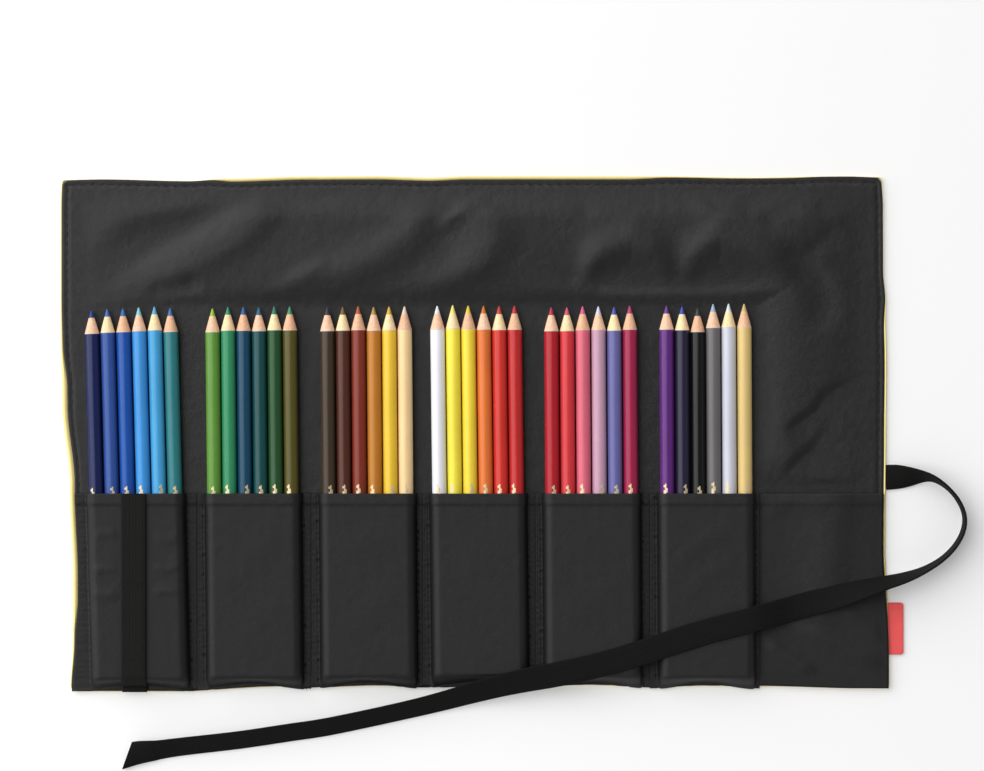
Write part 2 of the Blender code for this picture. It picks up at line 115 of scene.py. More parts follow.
def ease(share: float) -> float:
    """Clips one share to 0 to 1 and eases it at both ends."""
    return float(eased(np.array(share)))


# Shader building

class Wire:
    """A shader socket that takes part in Python expressions on values."""

    def __init__(self, board: Board, socket: bpy.types.NodeSocket) -> None:
        """Keeps the socket and the board that it is on."""
        self.board = board
        self.socket = socket

    def math(self, operation: str, *others: Wire | float) -> Wire:
        """Runs one Math node on this socket and the others, in that order."""
        return self.board.math(operation, self, *others)

    def __add__(self, other: Wire | float) -> Wire:
        """Adds."""
        return self.math("ADD", other)

    def __sub__(self, other: Wire | float) -> Wire:
        """Subtracts."""
        return self.math("SUBTRACT", other)

    def __rsub__(self, other: float) -> Wire:
        """Subtracts this from a number."""
        return self.board.math("SUBTRACT", other, self)

    def __mul__(self, other: Wire | float) -> Wire:
        """Multiplies."""
        return self.math("MULTIPLY", other)

    def __truediv__(self, other: Wire | float) -> Wire:
        """Divides."""
        return self.math("DIVIDE", other)

    def __rtruediv__(self, other: float) -> Wire:
        """Divides a number by this."""
        return self.board.math("DIVIDE", other, self)

    __radd__ = __add__
    __rmul__ = __mul__


class Board:
    """The node tree of one material or world."""

    def __init__(self, owner: bpy.types.ID) -> None:
        """Clears the owner's nodes, ready for new ones.

        Args:
            owner: The material or world to build nodes in.
        """
        owner.use_nodes = True
        self.owner = owner
        self.tree = owner.node_tree
        self.tree.nodes.clear()

    @classmethod
    def material(cls, name: str) -> Board:
        """Starts the board of a new material."""
        return cls(bpy.data.materials.new(name))

    def node(self, kind: str, settings: Mapping[str, object] | None = None,
             sockets: Mapping[str | int, object] | None = None) -> bpy.types.Node:
        """Adds one node of any type.

        Args:
            kind: The node's type, without its ShaderNode prefix.
            settings: Properties set first. "stops" are a ramp's places and colours.
            sockets: Values or wires for the inputs, by name or number.

        Returns:
            The node.
        """
        made = self.tree.nodes.new(f"ShaderNode{kind}")
        for key, value in (settings or {}).items():
            if key == "stops":
                self.set_stops(made.color_ramp, value)
            else:
                setattr(made, key, value)
        for key, value in (sockets or {}).items():
            if isinstance(value, Wire):
                self.tree.links.new(value.socket, made.inputs[key])
            else:
                made.inputs[key].default_value = value
        return made

    def set_stops(self, ramp: bpy.types.ColorRamp, stops: Sequence[tuple[float, float]]) -> None:
        """Gives a ramp its stops.

        Args:
            ramp: The ramp, with the two stops that a new one has.
            stops: Place and grey value of each stop, from 0 to 1.
        """
        while len(ramp.elements) < len(stops):
            ramp.elements.new(1.0)
        for element, (place, grey) in zip(ramp.elements, stops):
            element.position = place
            element.color = (grey, grey, grey, 1.0)

    def wire(self, node: bpy.types.Node, output: str | int = 0) -> Wire:
        """Gives one output of a node as a wire."""
        return Wire(self, node.outputs[output])

    def math(self, operation: str, *values: Wire | float) -> Wire:
        """Adds one Math node."""
        return self.wire(self.node("Math", {"operation": operation}, dict(enumerate(values))))

    def mix(self, factor: Wire | float, first: object, second: object) -> Wire:
        """Mixes two colours, each a wire or a linear colour."""
        made = self.node("Mix", {"data_type": "RGBA"}, {0: factor, 6: first, 7: second})
        return self.wire(made, 2)

    def tones(self, factor: Wire, colour: Sequence[float], share: float) -> Wire:
        """Mixes a colour with a darker one of its own.

        Args:
            factor: How much of the full colour there is.
            colour: The full colour, of 0 to 255.
            share: How bright the darker one is.

        Returns:
            The mixed colour.
        """
        return self.mix(factor, linear([channel * share for channel in colour]), linear(colour))

    def weave(self) -> Wire:
        """The cloth's own map, in metres along it."""
        return self.wire(self.node("UVMap", {"uv_map": WEAVE_MAP}))

    def place(self) -> Wire:
        """The place on the object, in metres."""
        return self.wire(self.node("TexCoord"), "Object")

    def stretched(self, vector: Wire, scale: Sequence[float]) -> Wire:
        """Scales a vector's three parts each by its own factor."""
        return self.wire(self.node("VectorMath", {"operation": "MULTIPLY"}, {0: vector, 1: tuple(scale)}))

    def noise(self, vector: Wire, scale: float, detail: float = 2.0, roughness: float = 0.5) -> Wire:
        """Smooth noise of 0 to 1 over a vector.

        Args:
            vector: Where to read the noise.
            scale: How many features there are in a metre.
            detail: How many finer layers it has.
            roughness: How strong those layers are.

        Returns:
            The noise.
        """
        sockets = {"Vector": vector, "Scale": scale, "Detail": detail, "Roughness": roughness}
        return self.wire(self.node("TexNoise", None, sockets))

    def bump(self, height: Wire, depth: float, under: Wire | None = None) -> Wire:
        """Turns a height of 0 to 1 into a normal.

        Args:
            height: The height.
            depth: What a height of 1 is, in metres.
            under: The normal of a coarser relief below it.

        Returns:
            The normal.
        """
        sockets = {"Strength": 1.0, "Distance": depth, "Height": height}
        if under is not None:
            sockets["Normal"] = under
        return self.wire(self.node("Bump", None, sockets))

    def finish(self, sockets: Mapping[str, object]) -> bpy.types.Material:
        """Ends a material with a Principled shader.

        Args:
            sockets: What the shader's inputs get.

        Returns:
            The material.
        """
        shader = self.node("BsdfPrincipled", None, sockets)
        self.node("OutputMaterial", None, {"Surface": self.wire(shader)})
        return self.owner


# Finishes

@dataclass(frozen=True)
class ClothFinish:
    """Plain-woven nylon: its two tones, its thread's pitch, and how far it shines."""

    name: str
    colour: tuple[int, int, int]
    shade: tuple[int, int, int]
    roughness: float
    thread: float = 0.00028
    thread_depth: float = 0.000012
    unevenness: float = 0.00024
    shine: float = 0.7
    sheen: float = 0.0
    tone_scale: float = 90.0
    uneven_scale: float = 160.0
    mottle_scale: float = 420.0
    roughness_spread: float = 0.16

    def material(self) -> bpy.types.Material:
        """Builds the material.

        Returns:
            The woven material, on the cloth's own map.
        """
        board = Board.material(self.name)
        weave = board.weave()
        parts = board.node("SeparateXYZ", None, {0: weave})
        warp = board.wire(parts, 0) / self.thread
        weft = board.wire(parts, 1) / self.thread
        over = (warp.math("FLOOR") + weft.math("FLOOR")).math("MODULO", 2.0).math("ABSOLUTE")
        round_warp = (warp * pi).math("SINE").math("ABSOLUTE")
        round_weft = (weft * pi).math("SINE").math("ABSOLUTE")
        yarn = over * round_warp + (1 - over) * round_weft
        tone = board.noise(weave, self.tone_scale, 4.0, 0.55)
        mottle = board.noise(weave, self.mottle_scale, 3.0, 0.6)
        colour = board.mix(tone * 0.6 + mottle * 0.4, linear(self.shade), linear(self.colour))
        uneven = board.bump(board.noise(weave, self.uneven_scale, 3.0, 0.6), self.unevenness)
        rough = self.roughness + (mottle - 0.5) * self.roughness_spread
        return board.finish({
            "Base Color": colour,
            "Roughness": rough,
            "Specular IOR Level": self.shine,
            "Sheen Weight": self.sheen,
            "Sheen Roughness": 0.4,
            "Normal": board.bump(yarn, self.thread_depth, uneven),
        })


@dataclass(frozen=True)
class WebbingFinish:
    """Heavy woven tape, with slanted yarns in columns along it."""

    name: str = "webbing"
    colour: tuple[int, int, int] = (18, 18, 17)
    # The darker colour, laid into the weave's hollows between yarns, is painted shade
    shade: tuple[int, int, int] = (9, 9, 9)
    shine: float = 0.15
    column: float = 0.00145
    yarn: float = 0.00085
    depth: float = 0.00022

    def material(self) -> bpy.types.Material:
        """Builds the material.

        Returns:
            The tape's weave, in which each column's yarns slant the other way to its neighbour's.
        """
        board = Board.material(self.name)
        weave = board.weave()
        parts = board.node("SeparateXYZ", None, {0: weave})
        across = board.wire(parts, 0) / self.column
        along = board.wire(parts, 1) / self.yarn
        slant = across.math("PINGPONG", 1.0)
        yarns = ((along + slant * 1.2) * pi).math("SINE").math("ABSOLUTE")
        columns = (across * pi).math("SINE").math("ABSOLUTE")
        height = yarns * 0.55 + columns * 0.45
        fuzz = board.noise(weave, 2600.0, 3.0, 0.7)
        # Darker in the weave's hollows by its height, which is painted shade, mixed with random fuzz, which
        # is the tape's own tone
        colour = board.mix(height * 0.7 + fuzz * 0.3, linear(self.shade), linear(self.colour))
        return board.finish({
            "Base Color": colour,
            "Roughness": 0.78 + fuzz * 0.16,
            "Specular IOR Level": self.shine,
            "Normal": board.bump(height + fuzz * 0.25, self.depth),
        })


@dataclass(frozen=True)
class LacquerFinish:
    """A pencil's lacquer."""

    name: str
    colour: tuple[int, int, int]

    def material(self) -> bpy.types.Material:
        """Builds the material.

        Returns:
            A glossy coat with a little grain and unevenness showing through.
        """
        board = Board.material(self.name)
        place = board.place()
        grain = board.noise(board.stretched(place, (1400.0, 40.0, 1400.0)), 1.0, 3.0)
        cloud = board.noise(place, 60.0, 2.0)
        return board.finish({
            "Base Color": board.tones(grain * 0.5 + cloud * 0.5, self.colour, 0.86),
            "Roughness": 0.2 + cloud * 0.1,
            "Specular IOR Level": 0.28,
            "Normal": board.bump(grain, 0.000012),
        })


@dataclass(frozen=True)
class CedarFinish:
    """Sharpened wood, its grain running along the pencil."""

    name: str
    colour: tuple[int, int, int]
    grain_colour: tuple[int, int, int]

    def material(self) -> bpy.types.Material:
        """Builds the material.

        Returns:
            Bare wood with fine streaks along the pencil and the cutter's rings across it.
        """
        board = Board.material(self.name)
        place = board.place()
        streaks = board.noise(board.stretched(place, (2600.0, 130.0, 2600.0)), 1.0, 4.0, 0.6)
        ramp = board.node("ValToRGB", {"stops": ((0.32, 0.0), (0.68, 1.0))}, {0: streaks})
        rings = board.noise(board.stretched(place, (60.0, 5200.0, 60.0)), 1.0, 1.0)
        return board.finish({
            "Base Color": board.mix(board.wire(ramp), linear(self.grain_colour), linear(self.colour)),
            "Roughness": 0.66 + streaks * 0.14,
            "Specular IOR Level": 0.3,
            "Normal": board.bump(streaks * 0.6 + rings * 0.4, 0.00005),
        })


@dataclass(frozen=True)
class GrainFinish:
    """A finish with one fine grain, which is noise of a scale, a detail and a roughness of its own."""

    name: str
    colour: tuple[int, int, int]
    darker: float
    grain: tuple[float, float, float]
    roughness: float
    shine: float
    depth: float
    metal: float = 0.0
    roughness_spread: float = 0.2

    def material(self) -> bpy.types.Material:
        """Builds the material.

        Returns:
            The grained material, its grain read from the place on the object.
        """
        board = Board.material(self.name)
        grain = board.noise(board.place(), *self.grain)
        return board.finish({
            "Base Color": board.tones(grain, self.colour, self.darker),
            "Metallic": self.metal,
            "Roughness": self.roughness + grain * self.roughness_spread,
            "Specular IOR Level": self.shine,
            "Normal": board.bump(grain, self.depth),
        })


@dataclass(frozen=True)
class ThreadFinish(GrainFinish):
    """Sewing thread, slightly shiny and twisted."""

    darker: float = 0.6
    grain: tuple[float, float, float] = (3800.0, 2.0, 0.5)
    roughness: float = 0.55
    shine: float = 0.2
    depth: float = 0.00008


@dataclass(frozen=True)
class CoreFinish(GrainFinish):
    """A pencil's coloured core: waxy, with the sharpener's marks."""

    darker: float = 0.75
    grain: tuple[float, float, float] = (2400.0, 3.0, 0.65)
    roughness: float = 0.42
    shine: float = 0.4
    depth: float = 0.00005


@dataclass(frozen=True)
class FoilFinish(GrainFinish):
    """Pale gold foil pressed into the lacquer, smooth and a little worn."""

    name: str = "foil"
    colour: tuple[int, int, int] = (236, 214, 170)
    darker: float = 0.8
    grain: tuple[float, float, float] = (1500.0, 3.0, 0.6)
    roughness: float = 0.32
    shine: float = 0.5
    depth: float = 0.0
    metal: float = 0.35


# Folds of the cloth

@dataclass(frozen=True)
class Photo:
    """Turns pixels of the photograph into places on the sheet."""

    centre_x: float = 481.9
    centre_y: float = 434.0
    pixel: float = 0.000464

    def place(self, x: float, y: float) -> tuple[float, float]:
        """The X and Y of one pixel, in metres."""
        return ((x - self.centre_x) * self.pixel, (self.centre_y - y) * self.pixel)


PHOTO = Photo()


@dataclass(frozen=True)
class Fold:
    """One soft fold of the cloth, a ridge or, with a height below 0, a trough.

    Its path is in pixels of the photograph. Its height is in metres, and so are its half widths, at the
    left and at the right of the path as one walks along it. It fades out over a share of its length at each
    end.
    """

    height: float
    half_widths: tuple[float, float]
    path: tuple[tuple[float, float], ...]
    end_share: float = 0.3

    def raise_at(self, x: np.ndarray, y: np.ndarray) -> np.ndarray:
        """How high the fold lifts the cloth, fading out towards both its ends.

        Args:
            x: Places along the sheet.
            y: Places up the sheet.

        Returns:
            The height at each place.
        """
        points = np.array([PHOTO.place(*pixel) for pixel in self.path])
        nearest = np.full(x.shape, np.inf)
        width = np.full(x.shape, self.half_widths[0])
        for start, step in zip(points, np.diff(points, axis=0)):
            from_x, from_y = x - start[0], y - start[1]
            held = np.clip((from_x * step[0] + from_y * step[1]) / (step @ step), 0, 1)
            away = np.hypot(from_x - held * step[0], from_y - held * step[1])
            at_left = step[0] * from_y > step[1] * from_x
            width = np.where(away < nearest, np.where(at_left, *self.half_widths), width)
            nearest = np.minimum(nearest, away)
        whole = points[-1] - points[0]
        share = ((x - points[0][0]) * whole[0] + (y - points[0][1]) * whole[1]) / (whole @ whole)
        fade = eased(np.minimum(share, 1 - share) / self.end_share)
        return self.height * fade * np.exp(-0.5 * (nearest / width) ** 2)


def raised(folds: Sequence[Fold], x: np.ndarray, y: np.ndarray) -> np.ndarray:
    """Adds up the folds' heights.

    Args:
        folds: The folds.
        x: Places along the sheet.
        y: Places up the sheet.

    Returns:
        The height at each place.
    """
    total = np.zeros(x.shape)
    for fold in folds:
        total = total + fold.raise_at(x, y)
    return total


LINING_FOLDS = (
    Fold(0.0006, (0.0200, 0.0060), ((60, 306), (76, 258), (98, 230), (132, 210), (172, 198), (230, 184))),
    Fold(-0.0012, (0.0062, 0.0048), (
        (70, 306), (100, 276), (121, 260), (151, 243), (185, 228), (219, 212), (262, 184))),
    Fold(0.0011, (0.0074, 0.0050), ((130, 306), (165, 282), (200, 262), (240, 238), (275, 205), (290, 180))),
    Fold(-0.0008, (0.0032, 0.0040), ((140, 296), (174, 287), (208, 280))),
    Fold(0.0010, (0.0034, 0.0044), ((250, 314), (284, 293), (306, 276), (336, 258))),
    Fold(0.0015, (0.0060, 0.0060), ((304, 300), (340, 276), (380, 256), (410, 236), (432, 206), (440, 182))),
    Fold(0.0013, (0.0060, 0.0052), ((415, 304), (450, 284), (480, 264), (498, 238), (508, 205))),
    Fold(-0.0005, (0.0032, 0.0032), ((262, 200), (300, 197), (342, 194))),
    Fold(0.0007, (0.0022, 0.0024), ((434, 232), (456, 214), (474, 199), (494, 180))),
    Fold(0.0009, (0.0080, 0.0140), ((474, 290), (480, 250), (486, 210), (490, 180))),
    Fold(-0.0004, (0.0026, 0.0034), ((580, 176), (583, 200), (588, 226))),
    Fold(-0.0012, (0.0070, 0.0034), (
        (520, 250), (566, 274), (600, 284), (640, 286), (680, 285), (720, 284), (760, 282), (812, 276))),
    Fold(0.0018, (0.0056, 0.0046), ((570, 280), (596, 254), (632, 240), (660, 252), (682, 276))),
    Fold(0.0018, (0.0050, 0.0046), ((670, 280), (694, 250), (720, 236), (746, 246), (772, 258), (806, 280))),
    Fold(0.0008, (0.0032, 0.0032), ((676, 178), (708, 208), (740, 222), (775, 235), (806, 248), (838, 268))),
    Fold(-0.0010, (0.0040, 0.0060), ((780, 232), (802, 256), (820, 280), (828, 306), (826, 340))),
    Fold(-0.0003, (0.0022, 0.0030), ((692, 178), (709, 199), (728, 222))),
    Fold(-0.0004, (0.0034, 0.0040), ((738, 212), (759, 199), (780, 186))),
    Fold(-0.0004, (0.0032, 0.0040), ((758, 224), (779, 212), (800, 200))),
    Fold(-0.0004, (0.0032, 0.0040), ((802, 256), (823, 241), (844, 226))),
    Fold(-0.0004, (0.0036, 0.0044), ((812, 210), (834, 199), (858, 190))),
    Fold(-0.0004, (0.0030, 0.0036), ((852, 202), (873, 192), (892, 182))),
    Fold(-0.0013, (0.0020, 0.0110), ((778, 440), (801, 423), (817, 412), (828, 396), (846, 388), (866, 380))),
    Fold(-0.0013, (0.0020, 0.0110), ((762, 498), (785, 476), (801, 460), (817, 449), (828, 432), (838, 412))),
)
FIRST_POCKET_FOLDS = (
    Fold(0.00031, (0.0016, 0.0016), ((92, 536), (106, 533), (121, 535))),
    Fold(0.00028, (0.0014, 0.0014), ((90, 572), (104, 568), (121, 570))),
    Fold(0.00035, (0.0017, 0.0017), ((90, 592), (106, 595), (121, 592))),
    Fold(0.00031, (0.0015, 0.0015), ((150, 592), (166, 590), (184, 592))),
    Fold(0.00024, (0.0012, 0.0012), ((150, 566), (168, 569), (184, 566))),
    Fold(0.00021, (0.0016, 0.0016), ((152, 536), (168, 541), (184, 534))),
)
LAST_POCKET_FOLDS = (
    Fold(0.0009, (0.0080, 0.0060), ((820, 640), (830, 570), (838, 500), (844, 440))),
    Fold(0.0004, (0.0030, 0.0030), ((750, 514), (790, 502), (836, 512))),
    Fold(0.0008, (0.0022, 0.0026), ((752, 634), (775, 649), (800, 667), (822, 682))),
    Fold(0.0008, (0.0022, 0.0026), ((792, 620), (830, 640), (862, 657), (892, 672))),
    Fold(0.0004, (0.0024, 0.0024), ((840, 608), (868, 628), (892, 644))),
)
FRONT_FOLDS = (
    Fold(0.00012, (0.0040, 0.0040), ((214, 600), (250, 560), (290, 520))),
    Fold(0.00010, (0.0050, 0.0050), ((226, 664), (262, 624), (294, 590))),
    Fold(0.00010, (0.0045, 0.0045), ((336, 560), (372, 540), (404, 530))),
    Fold(0.00012, (0.0040, 0.0040), ((344, 640), (380, 600), (410, 580))),
    Fold(0.00012, (0.0045, 0.0045), ((452, 570), (486, 552), (516, 560))),
    Fold(0.00010, (0.0040, 0.0040), ((560, 630), (590, 600), (626, 570))),
    Fold(0.00014, (0.0030, 0.0030), ((668, 570), (704, 540), (742, 520))),
    Fold(0.00014, (0.0030, 0.0030), ((674, 600), (706, 578), (744, 552))),
)


# Mesh making

def grid(points: np.ndarray, weave: np.ndarray) -> bmesh.types.BMesh:
    """Makes a sheet of quads with a map of its own.

    Args:
        points: The place of each vertex, by row and column.
        weave: The place of each vertex on the map, by row and column.

    Returns:
        The sheet.
    """
    rows, columns = points.shape[:2]
    bm = bmesh.new()
    layer = bm.loops.layers.uv.new(WEAVE_MAP)
    bmesh.ops.create_grid(bm, x_segments=columns - 1, y_segments=rows - 1, size=1)
    for face in bm.faces:
        for loop in face.loops:
            row = round((loop.vert.co.y + 1) / 2 * (rows - 1))
            column = round((loop.vert.co.x + 1) / 2 * (columns - 1))
            loop[layer].uv = weave[row, column]
    for vert in bm.verts:
        row = round((vert.co.y + 1) / 2 * (rows - 1))
        column = round((vert.co.x + 1) / 2 * (columns - 1))
        vert.co = points[row, column]
    return bm


def flat_grid(columns: np.ndarray, rows: np.ndarray) -> bmesh.types.BMesh:
    """Makes a level sheet of quads with its vertices at the given columns and rows."""
    across, up = np.meshgrid(columns, rows)
    return grid(np.dstack([across, up, np.zeros(across.shape)]), np.dstack([across, up]))


def places(start: float, end: float, step: float, extra: Sequence[float] = ()) -> np.ndarray:
    """Even places from start to end, with extra ones between them.

    Args:
        start: The first place.
        end: The last place.
        step: About how far apart they are.
        extra: More places, of which those between start and end are kept.

    Returns:
        The places in order, none closer together than a tenth of a step.
    """
    even = np.linspace(start, end, max(round((end - start) / step), 1) + 1)
    kept = [start]
    for place in sorted([*even[1:-1], *(x for x in extra if start < x < end)]):
        if place - kept[-1] > step / 10 and end - place > step / 10:
            kept.append(place)
    return np.array([*kept, end])


def make_piece(name: str, bm: bmesh.types.BMesh, *materials: bpy.types.Material,
               sharp: float | None = None) -> bpy.types.Object:
    """Turns a bmesh into a piece of the scene, smoothly shaded.

    Args:
        name: The piece's name.
        bm: Its mesh, which is freed.
        materials: Its materials, in the order of their numbers on the faces.
        sharp: The angle in degrees past which an edge stays sharp.

    Returns:
        The piece.
    """
    mesh = bpy.data.meshes.new(name)
    bm.to_mesh(mesh)
    bm.free()
    mesh.shade_smooth()
    if sharp is not None:
        mesh.set_sharp_from_angle(angle=radians(sharp))
    for material in materials:
        mesh.materials.append(material)
    piece = bpy.data.objects.new(name, mesh)
    bpy.context.collection.objects.link(piece)
    return piece


def add_stitch(bm: bmesh.types.BMesh, start: Vector, end: Vector, radius: float) -> None:
    """Adds one stitch, a short spindle of thread.

    Args:
        bm: The mesh that it goes into.
        start: One end.
        end: The other end.
        radius: Its radius in the middle.
    """
    along = end - start
    turn = along.to_track_quat("Z", "Y").to_matrix().to_4x4()
    size = Matrix.Diagonal((radius, radius, along.length / 2, 1.0))
    where = Matrix.Translation((start + end) / 2) @ turn @ size
    bmesh.ops.create_uvsphere(bm, u_segments=6, v_segments=5, radius=1.0, matrix=where)


def run_along(points: np.ndarray) -> np.ndarray:
    """How far each point of a line is along it, with a point in each row."""
    return np.concatenate([[0], np.cumsum(np.linalg.norm(np.diff(points, axis=0), axis=1))])


def place_at(distance: float, run: np.ndarray, points: np.ndarray) -> Vector:
    """The place at a distance along a line of points."""
    return Vector([float(np.interp(distance, run, points[:, axis])) for axis in range(3)])


def fasten(piece: bpy.types.Object, body: str, slot: str, *nodes: str) -> None:
    """Lets a piece ride on a body, in the place of the nodes that it stands for.

    Args:
        piece: The piece.
        body: The node that carries it.
        slot: The finish's slot; not used.
        nodes: The nodes that it stands for, none for stitches.
    """
    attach(piece, body)
    if nodes:
        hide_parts(*nodes)


# The sheet

@dataclass(frozen=True)
class Edge:
    """One edge of the sheet, drawn in from a straight line by an eased table of shares."""

    draw_in: float
    shares: tuple[tuple[float, float], ...]

    def inward(self, along: np.ndarray) -> np.ndarray:
        """How far the edge is drawn in.

        Args:
            along: Shares of its length.

        Returns:
            How far in it lies at each.
        """
        at, values = np.array(self.shares).T
        index = np.clip(np.searchsorted(at, along, side="right") - 1, 0, len(at) - 2)
        part = np.clip((along - at[index]) / (at[index + 1] - at[index]), 0, 1)
        step = (1 - np.cos(pi * part)) / 2
        return self.draw_in * (values[index] + (values[index + 1] - values[index]) * step)


@dataclass(frozen=True)
class SheetPlan:
    """The opened sheet from above: its straight outline, its fold lines and how its edges are drawn in."""

    left: float
    right: float
    bottom: float
    top: float
    folds: tuple[float, ...]
    corner: float = 0.0040
    fade: float = 0.022
    left_edge: Edge = Edge(0.0058, (
        (0.0, 0.05), (0.06, 0.0), (0.30, 0.0), (0.44, 0.15), (0.60, 0.74), (0.78, 1.0), (0.90, 0.98),
        (1.0, 0.78)))
    right_edge: Edge = Edge(0.0036, (
        (0.0, 1.0), (0.06, 0.79), (0.18, 0.77), (0.25, 0.43), (0.37, 0.30), (0.50, 0.37), (0.72, 0.49),
        (0.83, 0.17), (0.92, 0.0), (1.0, 0.0)))
    top_edge: Edge = Edge(0.0022, (
        (0.0, 0.80), (0.05, 0.62), (0.155, 1.0), (0.20, 0.50), (0.30, 0.05), (0.38, 0.0), (0.446, 0.30),
        (0.49, 0.0), (0.73, 0.0), (0.83, 0.26), (0.95, 0.0), (1.0, 0.2)))
    bottom_edge: Edge = Edge(0.0029, (
        (0.0, 0.0), (0.13, 0.0), (0.28, 0.83), (0.32, 0.72), (0.385, 0.93), (0.43, 0.68), (0.52, 0.78),
        (0.64, 1.0), (0.71, 0.74), (0.78, 0.88), (0.86, 0.82), (0.965, 0.50), (1.0, 0.48)))

    rim_width: float = 0.0010
    left_rim: Edge = Edge(0.0023, (
        (0.0, 0.3), (0.24, 0.3), (0.33, 0.5), (0.41, 1.0), (0.82, 1.0), (0.90, 0.5), (1.0, 0.3)))
    right_rim: Edge = Edge(0.0012, (
        (0.0, 0.08), (0.22, 0.08), (0.30, 0.95), (0.80, 1.0), (0.86, 0.3), (1.0, 0.25)))
    top_rim: Edge = Edge(0.0015, (
        (0.0, 0.12), (0.17, 0.12), (0.21, 1.0), (0.68, 1.0), (0.74, 0.5), (0.88, 0.4), (0.92, 0.12),
        (1.0, 0.12)))
    bottom_rim: Edge = Edge(0.0005, (
        (0.0, 0.8), (0.03, 1.0), (0.43, 1.0), (0.47, 0.25), (0.56, 0.25), (0.60, 1.0), (0.84, 1.0),
        (0.89, 0.25), (1.0, 0.25)))

    @classmethod
    def from_frame(cls) -> SheetPlan:
        """Reads the sheet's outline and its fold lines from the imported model.

        Returns:
            The plan.
        """
        boxes = [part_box(name) for name in frame["nodes"] if name.startswith("cover_")]
        folds = [joint["pos_m"][0] for joint in frame["joints"] if joint["name"].startswith("fold_")]
        return cls(
            left=min(low.x for low, _ in boxes),
            right=max(high.x for _, high in boxes),
            bottom=min(low.y for low, _ in boxes),
            top=max(high.y for _, high in boxes),
            folds=tuple(sorted(folds)),
        )

    def inset_of(self, x: np.ndarray, y: np.ndarray) -> np.ndarray:
        """How far places on the straight outline lie in from its nearest edge."""
        sides = np.minimum(x - self.left, self.right - x)
        return np.minimum(sides, np.minimum(y - self.bottom, self.top - y))

    def drawn(self, x: np.ndarray, y: np.ndarray, inset: float) -> tuple[np.ndarray, np.ndarray]:
        """Moves places on the straight outline to the real one, with round corners.

        Args:
            x: Places along the sheet.
            y: Places up the sheet.
            inset: How far the piece's own outline lies in from the cover's.

        Returns:
            The moved X and Y.
        """
        radius = self.corner - inset
        right = x > (self.left + self.right) / 2
        upper = y > (self.bottom + self.top) / 2
        beyond_x = np.where(right, x - (self.right - self.corner), self.left + self.corner - x) / radius
        beyond_y = np.where(upper, y - (self.top - self.corner), self.bottom + self.corner - y) / radius
        a, b = np.clip(beyond_x, 0, 1), np.clip(beyond_y, 0, 1)
        x = x + np.where(right, 1, -1) * radius * a * (np.sqrt(1 - b * b / 2) - 1)
        y = y + np.where(upper, 1, -1) * radius * b * (np.sqrt(1 - a * a / 2) - 1)
        across = (x - self.left) / (self.right - self.left)
        down = (self.top - y) / (self.top - self.bottom)
        moved_x = (x + self.pull(self.left_edge, self.left_rim, down, x - self.left)
                   - self.pull(self.right_edge, self.right_rim, down, self.right - x))
        moved_y = (y + self.pull(self.bottom_edge, self.bottom_rim, across, y - self.bottom)
                   - self.pull(self.top_edge, self.top_rim, across, self.top - y))
        return moved_x, moved_y

    def pull(self, edge: Edge, rim: Edge, along: np.ndarray, inset: np.ndarray) -> np.ndarray:
        """How far places near one edge move in from the straight outline.

        Args:
            edge: How the edge is drawn in.
            rim: How wide the cover shows along it.
            along: Shares along the edge.
            inset: How far the places lie in from the straight edge.

        Returns:
            How far each moves in.
        """
        wider = (rim.inward(along) - self.rim_width) * np.clip(inset / self.rim_width, 0, 1)
        return (edge.inward(along) + wider) * (1 - eased(inset / self.fade))

    def lining_start(self, edge: Edge, rim: Edge, along: float) -> float:
        """How far in from the straight outline the lining starts, at a share along one edge."""
        at = np.array([along])
        return float((edge.inward(at) + rim.inward(at))[0])

    def section(self, number: int) -> tuple[float, float]:
        """The stretch of the sheet that bends at one fold line, halfway to its neighbours.

        Args:
            number: The fold line's number, from 1 at the free end.

        Returns:
            Where the stretch starts and ends along X.
        """
        line = self.folds[number - 1]
        start = (self.folds[number - 2] + line) / 2 if number > 1 else self.left
        end = (line + self.folds[number]) / 2 if number < len(self.folds) else self.right
        return start, end


class Layer(Enum):
    """The two cloths of the sheet."""

    COVER = "cover"
    LINING = "lining"


